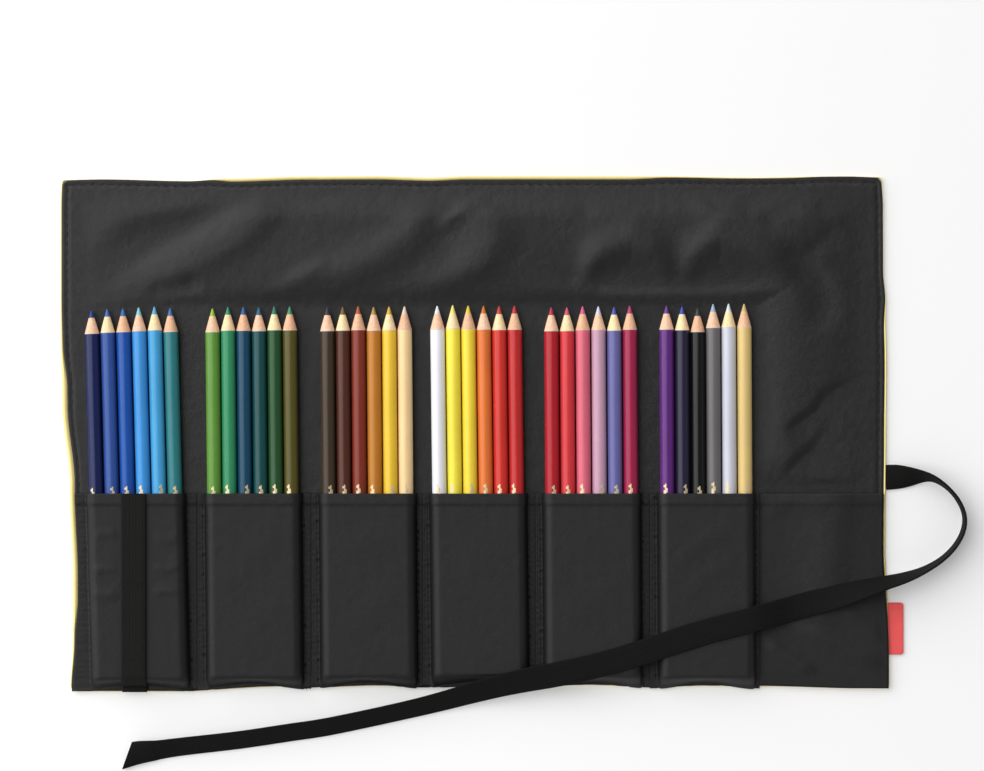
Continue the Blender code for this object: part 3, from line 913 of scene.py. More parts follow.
@dataclass
class SheetLayer:
    """The cover or the lining: one cloth, built in stretches, each around one fold line."""

    layer: Layer
    plan: SheetPlan
    finish: ClothFinish
    low: float
    thickness: float
    inset: float
    step: float = 0.0016
    bend_reach: float = 0.0048
    bend_columns: int = 6
    sharp_degrees: float = 50.0

    # The rims: places in from the edge, each with the heights of the lower and the upper face there
    rolled_rim: tuple[tuple[float, float, float], ...] = (
        (0.0, 0.00055, 0.00095), (0.00012, 0.0002, 0.0014), (0.00035, 0.00002, 0.00168),
        (0.0006, 0.0, 0.00162), (0.00085, 0.0, 0.00115), (0.0010, 0.0, 0.0008),
    )
    turned_rim: tuple[tuple[float, float, float], ...] = ((0.0, 0.0001, 0.0003), (0.0002, 0.0, 0.00052))
    turned_width: float = 0.0005
    rim_steps: tuple[float, ...] = (0.00012, 0.00022, 0.00035, 0.0006, 0.00085, 0.0010, 0.0014)

    # Where the lining is free to fold, and how its looseness grows in from its sides and edges
    pencil_room: float = 0.00018
    fold_room: float = 0.004
    rows_end: float = 0.0580
    rows_end_fade: float = 0.022
    rows_right: float = 0.1250
    rows_right_fade: float = 0.038
    mouth: float = -0.0240
    mouth_fade: float = 0.016
    looseness: float = 0.0016
    loose_from_left: float = 0.090
    loose_from_right: float = 0.050
    contact: float = 0.0006
    side_start: float = 0.004
    side_fade: float = 0.026
    edge_start: float = 0.003
    edge_fade: float = 0.016

    # How low its folds are pressed where pencils slide over them
    slide_room: float = 0.00018
    slide_sink: float = 0.00040
    slide_right: float = 0.1335
    slide_fade: float = 0.020
    full_relief: float = 0.0030

    # The edge's seam: its groove and the gathers beside it
    stitch_inset: float = 0.0034
    seam_width: float = 0.0005
    seam_depth: float = 0.00016
    gather_pitch: float = 0.0047
    gather_place: float = 0.0022
    gather_width: float = 0.0014
    gather_height: float = 0.00006

    # The step over which the folds' slope is read, and how far in from the rim it is used
    slope_reach: float = 0.0002
    shaded_from: float = 0.001

    def rim(self, inward: np.ndarray) -> tuple[np.ndarray, np.ndarray]:
        """The cloth's lower and upper face near its rim.

        The cover's rim is rolled up round the lining's, which is turned under.

        Args:
            inward: How far places lie in from the piece's own rim.

        Returns:
            The heights of the lower and the upper face.
        """
        if self.layer is Layer.COVER:
            at, low, high = np.array(self.rolled_rim).T
            return np.interp(inward, at, low), np.interp(inward, at, high)
        at, low, high = np.array([*self.turned_rim, (self.turned_width, 0.0, self.thickness)]).T
        return self.low + np.interp(inward, at, low), self.low + np.interp(inward, at, high)

    def free(self, x: np.ndarray, y: np.ndarray) -> np.ndarray:
        """How free the lining is to fold.

        Args:
            x: Places along the sheet.
            y: Places up the sheet.

        Returns:
            From 0 under the pencils and the pockets to 1, at each place.
        """
        above_points = eased((y - self.rows_end) / self.rows_end_fade)
        beside_rows = eased((x - self.rows_right) / self.rows_right_fade)
        above_mouth = eased((y - self.mouth) / self.mouth_fade)
        return np.maximum(above_points, beside_rows * above_mouth)

    def relief(self, x: np.ndarray, y: np.ndarray, pressed: bool) -> np.ndarray:
        """How far the lining stands up or sinks at places on the straight outline.

        Args:
            x: Places along the sheet.
            y: Places up the sheet.
            pressed: Whether the folds lie low where pencils slide over them as they are drawn out.

        Returns:
            The height at each place.
        """
        from_left, from_right = x - self.plan.left, self.plan.right - x
        inward = self.plan.inset_of(x, y) - self.inset
        free = self.free(x, y)
        slack = eased(from_left / self.loose_from_left) * eased(from_right / self.loose_from_right)
        lift = raised(LINING_FOLDS, x, y) + self.looseness * slack
        resting = (lift + np.hypot(lift, self.contact)) / 2
        room = self.pencil_room + free * self.fold_room
        soft = room * np.tanh(resting / room)
        sides = eased((np.minimum(from_left, from_right) - self.side_start) / self.side_fade)
        inner = eased((inward - self.edge_start) / self.edge_fade)
        folds = soft * sides * inner
        if pressed:
            sink = self.slide_sink * free * inner
            flat = (sink + self.slide_room) * np.tanh(folds / self.full_relief) - sink
            folds = flat + (folds - flat) * eased((x - self.slide_right) / self.slide_fade)
        beside_seam = np.exp(-0.5 * ((inward - self.gather_place) / self.gather_width) ** 2)
        gathers = np.sin(2 * pi * (x + y) / self.gather_pitch) * beside_seam
        groove = np.exp(-0.5 * ((inward - self.stitch_inset + self.inset) / self.seam_width) ** 2)
        return folds + self.gather_height * gathers - self.seam_depth * groove

    def faces(self, x: np.ndarray, y: np.ndarray, pressed: bool = True) -> tuple[np.ndarray, np.ndarray]:
        """How high the cloth's two faces lie.

        Args:
            x: Places along the sheet, on the straight outline.
            y: Places up it.
            pressed: Whether the folds lie low where pencils slide over them.

        Returns:
            The heights of the lower and the upper face.
        """
        low, high = self.rim(self.plan.inset_of(x, y) - self.inset)
        if self.layer is Layer.LINING:
            lift = self.relief(x, y, pressed)
            return low + np.maximum(lift, 0), high + lift
        return low, high

    def columns(self, start: float, end: float, line: float) -> np.ndarray:
        """The columns of one stretch, closer together at its fold line and at the sheet's sides.

        Args:
            start: Where the stretch starts along X.
            end: Where it ends.
            line: Where its fold line is.

        Returns:
            The columns' X.
        """
        count = self.bend_columns
        extra = [line + step * self.bend_reach / count for step in range(-count, count + 1)]
        extra += [self.plan.left + self.inset + rim for rim in self.rim_steps]
        extra += [self.plan.right - self.inset - rim for rim in self.rim_steps]
        return places(start, end, self.step, extra)

    def rows(self) -> np.ndarray:
        """The rows of a stretch, closer together at the top and bottom edges.

        Returns:
            The rows' Y.
        """
        low, high = self.plan.bottom + self.inset, self.plan.top - self.inset
        extra = [low + rim for rim in self.rim_steps] + [high - rim for rim in self.rim_steps]
        return places(low, high, self.step, extra)

    def build(self) -> list[bpy.types.Object]:
        """Builds the cloth's stretches, each around the fold line between two panels.

        Returns:
            The pieces, from the free end to the strap's end.
        """
        material = self.finish.material()
        count = len(self.plan.folds)
        pieces = []
        for number in range(1, count + 1):
            start, end = self.plan.section(number)
            start += self.inset if number == 1 else 0
            end -= self.inset if number == count else 0
            piece = self.stretch(number, start, end, material)
            nodes = [f"{self.layer.value}_{number}"]
            if number == count:
                nodes.append(f"{self.layer.value}_{number + 1}")
            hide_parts(*nodes)
            height = self.plan.top - self.plan.bottom - 2 * self.inset
            end - start
            pieces.append(piece)
        return pieces

    def stretch(self, number: int, start: float, end: float,
                material: bpy.types.Material) -> bpy.types.Object:
        """Builds one stretch of the cloth as a closed slab.

        Args:
            number: The number of its fold line.
            start: Where it starts along X.
            end: Where it ends along X.
            material: Its material.

        Returns:
            The piece.
        """
        line = self.plan.folds[number - 1]
        bm = flat_grid(self.columns(start, end, line), self.rows())
        upper = bmesh.ops.extrude_face_region(bm, geom=bm.faces[:])["geom"]
        tops = [vert for vert in upper if isinstance(vert, bmesh.types.BMVert)]
        bmesh.ops.translate(bm, verts=tops, vec=(0, 0, 1))
        x, y, side = np.array([vert.co for vert in bm.verts]).T
        is_top = side > 0.5
        low, high = self.faces(x, y)
        moved_x, moved_y = self.plan.drawn(x, y, self.inset)
        moved = np.column_stack([moved_x, moved_y, np.where(is_top, high, low)])
        for vert, place in zip(bm.verts, moved):
            vert.co = place
        bmesh.ops.recalc_face_normals(bm, faces=bm.faces[:])
        piece = make_piece(f"{self.layer.value}_cloth_{number}", bm, material, sharp=self.sharp_degrees)
        if self.layer is Layer.LINING:
            self.join_shading(piece.data, x, y, is_top)
        self.bend(piece, number)
        return piece

    def bend(self, piece: bpy.types.Object, number: int) -> None:
        """Bakes a piece's transform into its mesh; it sets up no bending at the fold line.

        Args:
            piece: The piece, its mesh final.
            number: The fold line's number; not used.
        """
        line = self.plan.folds[number - 1]
        line + self.bend_reach
        line - self.bend_reach
        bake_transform(piece)

    def join_shading(self, mesh: bpy.types.Mesh, x: np.ndarray, y: np.ndarray, is_top: np.ndarray) -> None:
        """Gives the upper face the whole sheet's normals, so that the stretches meet without a line.

        They are those of the folds at their full height, also where the folds are pressed low.

        Args:
            mesh: The stretch's mesh.
            x: Each vertex's place along the straight outline.
            y: Each vertex's place up it.
            is_top: Which vertices are on the upper face.
        """
        slopes = []
        for step_x, step_y in ((self.slope_reach, 0.0), (0.0, self.slope_reach)):
            ahead = self.faces(x + step_x, y + step_y, False)[1]
            behind = self.faces(x - step_x, y - step_y, False)[1]
            slopes.append((ahead - behind) / (2 * self.slope_reach))
        normals = np.column_stack([-slopes[0], -slopes[1], np.ones(x.shape)])
        normals /= np.linalg.norm(normals, axis=1)[:, None]
        joined = is_top & (self.plan.inset_of(x, y) - self.inset > self.shaded_from)
        corners = np.zeros((len(mesh.loops), 3))
        for face in mesh.polygons:
            if joined[list(face.vertices)].all():
                for loop in face.loop_indices:
                    corners[loop] = normals[mesh.loops[loop].vertex_index]
        mesh.normals_split_custom_set(corners.tolist())

    def on_top(self, x: float, y: float, lift: float) -> Vector:
        """A place just above the upper face.

        Args:
            x: The place along the straight outline.
            y: The place up it.
            lift: How far above the face.

        Returns:
            The place on the real outline.
        """
        at_x, at_y = np.array([x]), np.array([y])
        moved_x, moved_y = self.plan.drawn(at_x, at_y, self.inset)
        return Vector((moved_x[0], moved_y[0], self.faces(at_x, at_y)[1][0] + lift))


@dataclass
class EdgeStitching:
    """The row of stitches that runs round the sheet, a little in from its edge."""

    lining: SheetLayer
    finish: ThreadFinish
    radius: float = 0.00022
    lift: float = 0.00004
    length: float = 0.0030
    pitch: float = 0.0043

    def line(self) -> list[tuple[float, float]]:
        """Where the stitches round the sheet are.

        Returns:
            The start and the end of each, one after the other, on the straight outline.
        """
        plan, inset = self.lining.plan, self.lining.stitch_inset
        left, right = plan.left + inset, plan.right - inset
        bottom, top = plan.bottom + inset, plan.top - inset
        ends = []
        for start, end in (((left, bottom), (right, bottom)), ((right, bottom), (right, top)),
                           ((right, top), (left, top)), ((left, top), (left, bottom))):
            run = hypot(end[0] - start[0], end[1] - start[1])
            count = int(run / self.pitch)
            for number in range(count):
                first = (number + 0.5) * run / count - self.length / 2
                for share in (first / run, (first + self.length) / run):
                    x = start[0] + (end[0] - start[0]) * share
                    ends.append((x, start[1] + (end[1] - start[1]) * share))
        return ends

    def build(self) -> list[bpy.types.Object]:
        """Builds the stitches of each stretch of the lining.

        Returns:
            The stitches of each stretch as one piece.
        """
        material = self.finish.material()
        ends = self.line()
        pieces = []
        for number in range(1, len(self.lining.plan.folds) + 1):
            start, end = self.lining.plan.section(number)
            bm = bmesh.new()
            for near, far in zip(ends[::2], ends[1::2]):
                if start <= (near[0] + far[0]) / 2 < end:
                    add_stitch(bm, self.lining.on_top(*near, self.lift), self.lining.on_top(*far, self.lift),
                               self.radius)
            piece = make_piece(f"edge_stitching_{number}", bm, material)
            self.lining.bend(piece, number)
            pieces.append(piece)
        return pieces


# Pencils

@dataclass(frozen=True)
class PencilPlace:
    """Where one pencil lies: its back end, its direction and its radius."""

    name: str
    panel: int
    back: Vector
    along: Vector
    radius: float

    def x_at(self, y: float) -> float:
        """The X of the pencil's axis at a height up the sheet."""
        return self.back.x + self.along.x / self.along.y * (y - self.back.y)


def read_pencils(length: float) -> list[PencilPlace]:
    """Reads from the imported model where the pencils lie, from the free end on.

    Args:
        length: A pencil's length.

    Returns:
        The pencils, from left to right.
    """
    found = []
    for joint in frame["joints"]:
        if joint["name"].startswith("draw_"):
            low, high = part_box(joint["child"])
            along = Vector(joint["axis"]).normalized()
            radius = (high.z - low.z) / 2
            back = Vector((high.x - radius * along.y, high.y - length * along.y, (low.z + high.z) / 2))
            found.append(PencilPlace(joint["child"], int(joint["parent"][-1]), back, along, radius))
    return sorted(found, key=lambda place: place.back.x)


class PencilPart(IntEnum):
    """What each face of a pencil is made of, in the order of its materials."""

    LACQUER = 0
    WOOD = 1
    CORE = 2
    FOIL = 3
    PRIMER = 4


@dataclass
class Pencils:
    """The coloured pencils: lacquered, sharpened, with a stripe of foil marks."""

    places: list[PencilPlace]
    length: float = 0.1700
    sharpened: float = 0.0108
    lead: float = 0.0036
    lead_tip: float = 0.00030
    core: float = 0.00165
    lead_tip_height: float = 0.00012
    lead_ring_share: float = 0.4
    wood_ring: float = 0.0035
    middle_ring: float = 0.125
    back_edge: float = 0.0004
    back_round_share: float = 0.3
    primer: float = 0.00028
    paint_step: float = 0.00006
    sides: int = 32
    sharp_degrees: float = 24.0
    turn_step: int = 37
    turn_range: int = 50
    turn_most_left: int = 32
    cedar_step: int = 7
    primer_colour: tuple[int, int, int] = (222, 214, 200)
    foil_marks: tuple[tuple[float, float, int, int], ...] = (
        (0.0560, 0.0625, -1, 1), (0.0635, 0.0700, -1, 1), (0.0734, 0.0800, -1, 1), (0.0812, 0.0846, -1, 1),
        (0.0842, 0.0876, 0, 1), (0.0836, 0.0856, 1, 2), (0.0860, 0.0870, -1, 0),
    )

    colours: tuple[tuple[str, tuple[int, int, int], tuple[int, int, int]], ...] = (
        ("navy", (24, 34, 84), (30, 60, 140)),
        ("blue_violet", (50, 84, 158), (70, 110, 190)),
        ("blue", (28, 84, 170), (50, 110, 190)),
        ("azure", (66, 152, 224), (140, 220, 230)),
        ("sky", (70, 164, 218), (100, 180, 220)),
        ("teal", (46, 124, 130), (60, 120, 180)),
        ("yellow_green", (98, 150, 60), (165, 200, 60)),
        ("emerald", (52, 144, 98), (50, 150, 110)),
        ("petrol", (22, 72, 100), (45, 100, 170)),
        ("pine", (22, 76, 78), (40, 110, 140)),
        ("dark_green", (38, 82, 44), (50, 130, 110)),
        ("olive", (88, 82, 32), (70, 150, 110)),
        ("umber", (66, 52, 38), (60, 50, 55)),
        ("dark_brown", (84, 44, 32), (130, 95, 55)),
        ("red_brown", (134, 52, 38), (195, 95, 50)),
        ("ochre", (196, 126, 44), (190, 150, 70)),
        ("golden", (244, 202, 60), (230, 185, 60)),
        ("peach", (250, 215, 158), (240, 220, 200)),
        ("white", (240, 240, 246), (244, 244, 246)),
        ("lemon", (252, 232, 74), (250, 240, 120)),
        ("yellow", (250, 222, 66), (240, 215, 60)),
        ("orange", (230, 120, 54), (220, 120, 40)),
        ("vermilion", (212, 54, 44), (210, 70, 60)),
        ("red", (196, 44, 44), (205, 50, 55)),
        ("crimson", (180, 32, 44), (190, 50, 80)),
        ("rose", (216, 58, 64), (220, 90, 120)),
        ("pink", (226, 108, 128), (225, 100, 150)),
        ("lilac", (202, 158, 180), (225, 225, 245)),
        ("periwinkle", (106, 106, 165), (80, 90, 180)),
        ("magenta", (165, 36, 76), (190, 60, 120)),
        ("purple", (96, 42, 124), (110, 60, 150)),
        ("indigo", (40, 36, 60), (70, 80, 180)),
        ("black", (18, 18, 19), (60, 65, 65)),
        ("grey", (108, 106, 106), (170, 190, 220)),
        ("silver", (206, 209, 220), (220, 235, 240)),
        ("gold", (226, 196, 126), (215, 190, 120)),
    )
    cedars: tuple[tuple[tuple[int, int, int], tuple[int, int, int]], ...] = (
        ((245, 208, 180), (224, 172, 138)),
        ((250, 229, 186), (230, 196, 146)),
        ((239, 195, 163), (213, 157, 120)),
    )

    def outline(self, radius: float) -> list[tuple[float, float]]:
        """Half the pencil's length section.

        Args:
            radius: The pencil's radius.

        Returns:
            The section's points from the back end to the tip, each as radius and length.
        """
        paint_end = self.length - self.sharpened
        slope = (radius - self.lead_tip) / self.sharpened
        marks = sorted({place for mark in self.foil_marks for place in mark[:2]})
        return [
            (0, 0),
            (self.core, 0),
            (radius - self.back_edge, 0),
            (radius - self.back_round_share * self.back_edge, self.back_round_share * self.back_edge),
            (radius, self.back_edge),
            *((radius, place) for place in marks),
            (radius, self.middle_ring),
            (radius, paint_end - self.primer),
            (radius - self.paint_step, paint_end),
            *((self.lead_tip + slope * from_tip, self.length - from_tip)
              for from_tip in (self.lead + self.wood_ring, self.lead, self.lead * self.lead_ring_share)),
            (self.lead_tip, self.length - self.lead_tip_height),
            (self.lead_tip * 0.5, self.length),
            (0, self.length),
        ]

    def part_at(self, centre: Vector) -> PencilPart:
        """What a face is made of, from its middle.

        Args:
            centre: The face's middle, with the pencil along Y from its back end.

        Returns:
            The part of the pencil that it belongs to.
        """
        out = hypot(centre.x, centre.z)
        paint_end = self.length - self.sharpened
        if centre.y > self.length - self.lead:
            return PencilPart.CORE
        if centre.y > paint_end:
            return PencilPart.WOOD
        if centre.y > paint_end - self.primer:
            return PencilPart.PRIMER
        if centre.y < self.back_edge * 0.1:
            return PencilPart.CORE if out < self.core else PencilPart.WOOD
        column = atan2(centre.x, centre.z) / (2 * pi / self.sides)
        marked = any(low < centre.y < high and first < column < last
                     for low, high, first, last in self.foil_marks)
        return PencilPart.FOIL if marked else PencilPart.LACQUER

    def build(self) -> list[bpy.types.Object]:
        """Builds the pencils, each standing for its node.

        Returns:
            The pencils.
        """
        tones = {name: (body, core) for name, body, core in self.colours}
        cedars = [CedarFinish(f"cedar_{number}", *pair).material() for number, pair in enumerate(self.cedars)]
        foil = FoilFinish().material()
        primer = CoreFinish("primer", self.primer_colour).material()
        pieces = []
        for number, place in enumerate(self.places):
            colour_name = place.name.removeprefix("pencil_")
            body, core = tones[colour_name]
            lacquer = LacquerFinish(f"lacquer_{colour_name}", body).material()
            lead = CoreFinish(f"core_{colour_name}", core).material()
            cedar = cedars[number * self.cedar_step % len(cedars)]
            piece = self.pencil(place, number, (lacquer, cedar, lead, foil, primer))
            fasten(piece, place.name, f"lacquer_{colour_name}", place.name)
            pieces.append(piece)
        return pieces

    def pencil(self, place: PencilPlace, number: int,
               materials: Sequence[bpy.types.Material]) -> bpy.types.Object:
        """Builds one pencil in its place.

        Args:
            place: Where it lies.
            number: Its number, which turns its foil marks a little.
            materials: Lacquer, wood, core, foil and primer.

        Returns:
            The pencil.
        """
        bm = bmesh.new()
        verts = [bm.verts.new((out, length, 0)) for out, length in self.outline(place.radius)]
        edges = [bm.edges.new(pair) for pair in zip(verts, verts[1:])]
        bmesh.ops.spin(bm, geom=verts + edges, cent=(0, 0, 0), axis=(0, 1, 0), angle=2 * pi,
                       steps=self.sides, use_merge=True)
        bmesh.ops.remove_doubles(bm, verts=bm.verts[:], dist=MERGE_DISTANCE)
        bmesh.ops.recalc_face_normals(bm, faces=bm.faces[:])
        for face in bm.faces:
            face.material_index = int(self.part_at(face.calc_center_median()))
        turned = number * self.turn_step % self.turn_range - self.turn_most_left
        turn = Matrix.Rotation(radians(turned), 4, "Y")
        lean = Matrix.Rotation(atan2(-place.along.x, place.along.y), 4, "Z")
        bmesh.ops.transform(bm, matrix=Matrix.Translation(place.back) @ lean @ turn, verts=bm.verts[:])
        return make_piece(f"coloured_{place.name}", bm, *materials, sharp=self.sharp_degrees)


# Pockets

@dataclass
class PocketFront:
    """The front of one pocket, shaped over its row of pencils or flat where it holds none."""

    number: int
    plan: SheetPlan
    row: list[PencilPlace]
    floor: float
    gap: float = 0.0003
    cloth: float = 0.0005
    hem_cloth: float = 0.00082
    hem: float = 0.0062
    mouth: float = -0.0275
    hem_fade: float = 0.0018
    row_step: float = 0.00075
    sag: float = 0.00002
    gap_columns: int = 6

    # The gathers along the seams at its sides, which drift by two waves of their own: size and rate
    pucker: float = 0.00012
    pucker_pitch: float = 0.0027
    pucker_drifts: tuple[tuple[float, float], ...] = ((1.7, 290.0), (0.8, 670.0))
    pucker_most: float = 0.9
    pucker_power: float = 0.7
    flange_columns: int = 8
    flange_start: float = 0.02
    wall_least: float = 0.75
    wall_spread: float = 0.6

    # The closed end below a row of pencils, and the flat foot below it
    closing: float = 0.0036
    closing_rows: int = 8
    closed_share: float = 0.985
    arch: float = 0.0026
    foot_rows: int = 4
    foot_waves: tuple[float, float] = (0.0061, 0.0143)
    foot_height: float = 0.00012

    # The front of a pocket that holds no pencils: widths are shares of its own
    empty_step: float = 0.0011
    empty_columns: int = 54
    empty_bulge: float = 0.0005
    empty_sides: float = 0.12
    empty_foot: float = 0.1
    empty_lift: float = 0.0002
    empty_phase: float = 3.0
    empty_gathers: float = 0.05
    empty_gather_share: float = 0.7
    empty_drawn: float = 0.3

    wall: tuple[tuple[float, float], ...] = (
        (0.00175, 0.0), (0.00110, 0.00010), (0.00070, 0.00042), (0.00042, 0.00105), (0.00020, 0.00190),
        (0.00006, 0.0027),
    )
    arc_degrees: tuple[float, ...] = (180.0, 166.0, 152.0, 139.0, 127.0, 116.0, 106.0, 98.0, 90.0)

    @property
    def lowest(self) -> float:
        """Where the front starts to close, just below its lowest pencil."""
        return min(place.back.y for place in self.row) - self.gap

    def side(self, side: int, y: float) -> float:
        """Where one side of the front is.

        Args:
            side: -1 for the left side and 1 for the right.
            y: The height up the sheet.

        Returns:
            The side's X.
        """
        plan = self.plan
        down = (plan.top - y) / (plan.top - plan.bottom)
        if side < 0 and self.number == 1:
            return plan.left + plan.lining_start(plan.left_edge, plan.left_rim, down)
        if side > 0 and self.number == len(plan.folds) + 1:
            return plan.right - plan.lining_start(plan.right_edge, plan.right_rim, down)
        return plan.folds[self.number - 2] if side < 0 else plan.folds[self.number - 1]

    def bottom(self, x: float) -> float:
        """The Y of the front's lower edge."""
        across = (x - self.plan.left) / (self.plan.right - self.plan.left)
        return self.plan.bottom + self.plan.lining_start(self.plan.bottom_edge, self.plan.bottom_rim, across)

    def ripple(self, y: float, phase: float) -> float:
        """How far the cloth is gathered along a seam.

        Args:
            y: The height up the sheet.
            phase: Where the gathers start, which is the seam's own.

        Returns:
            From 0 to 1.
        """
        drift = sum(size * sin(y * rate + order * phase)
                    for order, (size, rate) in enumerate(self.pucker_drifts, start=1))
        return 0.5 + 0.5 * sin(2 * pi * y / self.pucker_pitch + drift)

    def across(self, y: float) -> np.ndarray:
        """The inside of the front across a full pocket, from left to right.

        Args:
            y: The height up the sheet.

        Returns:
            Points of X and Z.
        """
        first, last = self.row[0], self.row[-1]
        radius = first.radius + self.gap
        centre = first.back.z
        left_x, right_x = first.x_at(y), last.x_at(y)
        points = []
        for side, axis_x in ((-1, left_x), (1, right_x)):
            outer = self.side(side, y)
            wave = self.ripple(y, self.number + side)
            foot = axis_x + side * (radius + self.wall[0][0])
            steps = np.linspace(0, 1, self.flange_columns + 1)[:-1]
            shares = np.linspace(self.flange_start, 1, self.flange_columns + 1)[:-1]
            ramp = [(outer + (foot - outer) * step, self.floor + self.pucker * wave
                     * sin(pi * min(share, self.pucker_most)) ** self.pucker_power)
                    for step, share in zip(steps, shares)]
            spread = self.wall_least + self.wall_spread * wave
            ramp += [(axis_x + side * (radius + out * spread), self.floor + up) for out, up in self.wall]
            ramp += [(axis_x - side * radius * cos(radians(turn)), centre + radius * sin(radians(turn)))
                     for turn in self.arc_degrees]
            points.append(ramp)
        crown = centre + radius
        middle = []
        count = (len(self.row) - 1) * self.gap_columns
        for step in range(1, count):
            dip = self.sag * sin(pi * step / self.gap_columns) ** 2
            middle.append((left_x + (right_x - left_x) * (step / count), crown - dip))
        return np.array(points[0] + middle + points[1][::-1])

    def heights(self) -> list[tuple[float, float]]:
        """The rows of a full pocket.

        Returns:
            The Y and the share of the full height of each, from the mouth down to the closed end.
        """
        rows = [(y, 1.0) for y in places(self.lowest, self.mouth, self.row_step)[::-1]]
        for step in range(1, self.closing_rows + 1):
            height = 1 - ease(step / self.closing_rows) * self.closed_share
            rows.append((self.lowest - self.closing * step / self.closing_rows, height))
        return rows

    def full(self) -> tuple[np.ndarray, np.ndarray]:
        """Shapes the front of a full pocket.

        Returns:
            Its places by row and column, and the same on its map.
        """
        folds = FIRST_POCKET_FOLDS if self.number == 1 else FRONT_FOLDS
        rows = []
        for y, height in self.heights():
            section = self.across(y)
            share = (section[:, 0] - section[0, 0]) / (section[-1, 0] - section[0, 0])
            drop = np.full(len(section), y)
            if y < self.lowest:
                drop = y + self.arch * (self.lowest - y) / self.closing * (np.sin(pi * share) ** 2 - 1)
            lifts = raised(folds, section[:, 0], np.full(len(section), y))
            rise = (section[:, 1] - self.floor) * height + lifts * height
            rows.append(np.column_stack([section[:, 0], drop, self.floor + rise]))
        last = rows[-1]
        foot = np.array([self.bottom(x) for x in last[:, 0]])
        short_wave, long_wave = (2 * pi * last[:, 0] / length for length in self.foot_waves)
        wave = np.sin(short_wave + self.number) * np.sin(long_wave)
        for step in range(1, self.foot_rows + 1):
            share = step / self.foot_rows
            rise = self.foot_height * (1 + wave) * sin(pi * share)
            rows.append(np.column_stack([last[:, 0], last[:, 1] + (foot - last[:, 1]) * share,
                                         self.floor + rise]))
        points = np.array(rows[::-1])
        run = run_along(points[len(points) // 2, :, ::2])
        weave = np.dstack([np.broadcast_to(run, points.shape[:2]), points[:, :, 1]])
        return points, weave

    def empty(self) -> tuple[np.ndarray, np.ndarray]:
        """Shapes the front of the empty pocket.

        Returns:
            Its places by row and column, and the same on its map.
        """
        share = np.linspace(0, 1, self.empty_columns)
        sides = eased(share / self.empty_sides) * eased((1 - share) / self.empty_sides)
        rows = []
        for y in places(self.plan.bottom, self.mouth, self.empty_step):
            left, right = self.side(-1, y), self.side(1, y)
            x = left + (right - left) * share
            openness = (y - self.plan.bottom) / (self.mouth - self.plan.bottom)
            lift = self.empty_bulge * np.sin(pi * share) ** 2 * openness
            free = sides * ease(openness / self.empty_foot)
            folds = np.maximum(raised(LAST_POCKET_FOLDS, x, np.full(x.shape, y)) + self.empty_lift, 0)
            wave = (self.ripple(y, self.empty_phase) * np.exp(-share / self.empty_gathers)
                    * self.pucker * self.empty_gather_share)
            edge = np.array([self.bottom(place) for place in x])
            at_y = y + (edge - self.plan.bottom) * (1 - ease(openness / self.empty_drawn))
            rows.append(np.column_stack([x, at_y, self.floor + lift + folds * free + wave]))
        points = np.array(rows)
        return points, points[:, :, :2].copy()

    def shape(self) -> tuple[np.ndarray, np.ndarray]:
        """The front's places by row and column and the same on its map, full or empty."""
        return self.full() if self.row else self.empty()

    def build(self, material: bpy.types.Material) -> bpy.types.Object:
        """Builds the front with its hem, standing for its node and riding on its panel.

        Args:
            material: The pocket cloth.

        Returns:
            The piece.
        """
        points, weave = self.shape()
        piece = make_piece(f"pocket_front_{self.number}", grid(points, weave), material)
        doubled = piece.vertex_groups.new(name="doubled")
        for vert in piece.data.vertices:
            share = ease((vert.co.y - (self.mouth - self.hem)) / self.hem_fade)
            thickness = self.cloth + (self.hem_cloth - self.cloth) * share
            doubled.add([vert.index], thickness / self.hem_cloth, "REPLACE")
        wall = piece.modifiers.new("cloth", "SOLIDIFY")
        wall.thickness = self.hem_cloth
        wall.offset = 1
        wall.vertex_group = doubled.name
        fasten(piece, f"panel_{self.number}", "pocket_cloth", f"pocket_{self.number}")
        run = float(weave[:, :, 0].max() - weave[:, :, 0].min())
        self.mouth - self.plan.bottom
        return piece


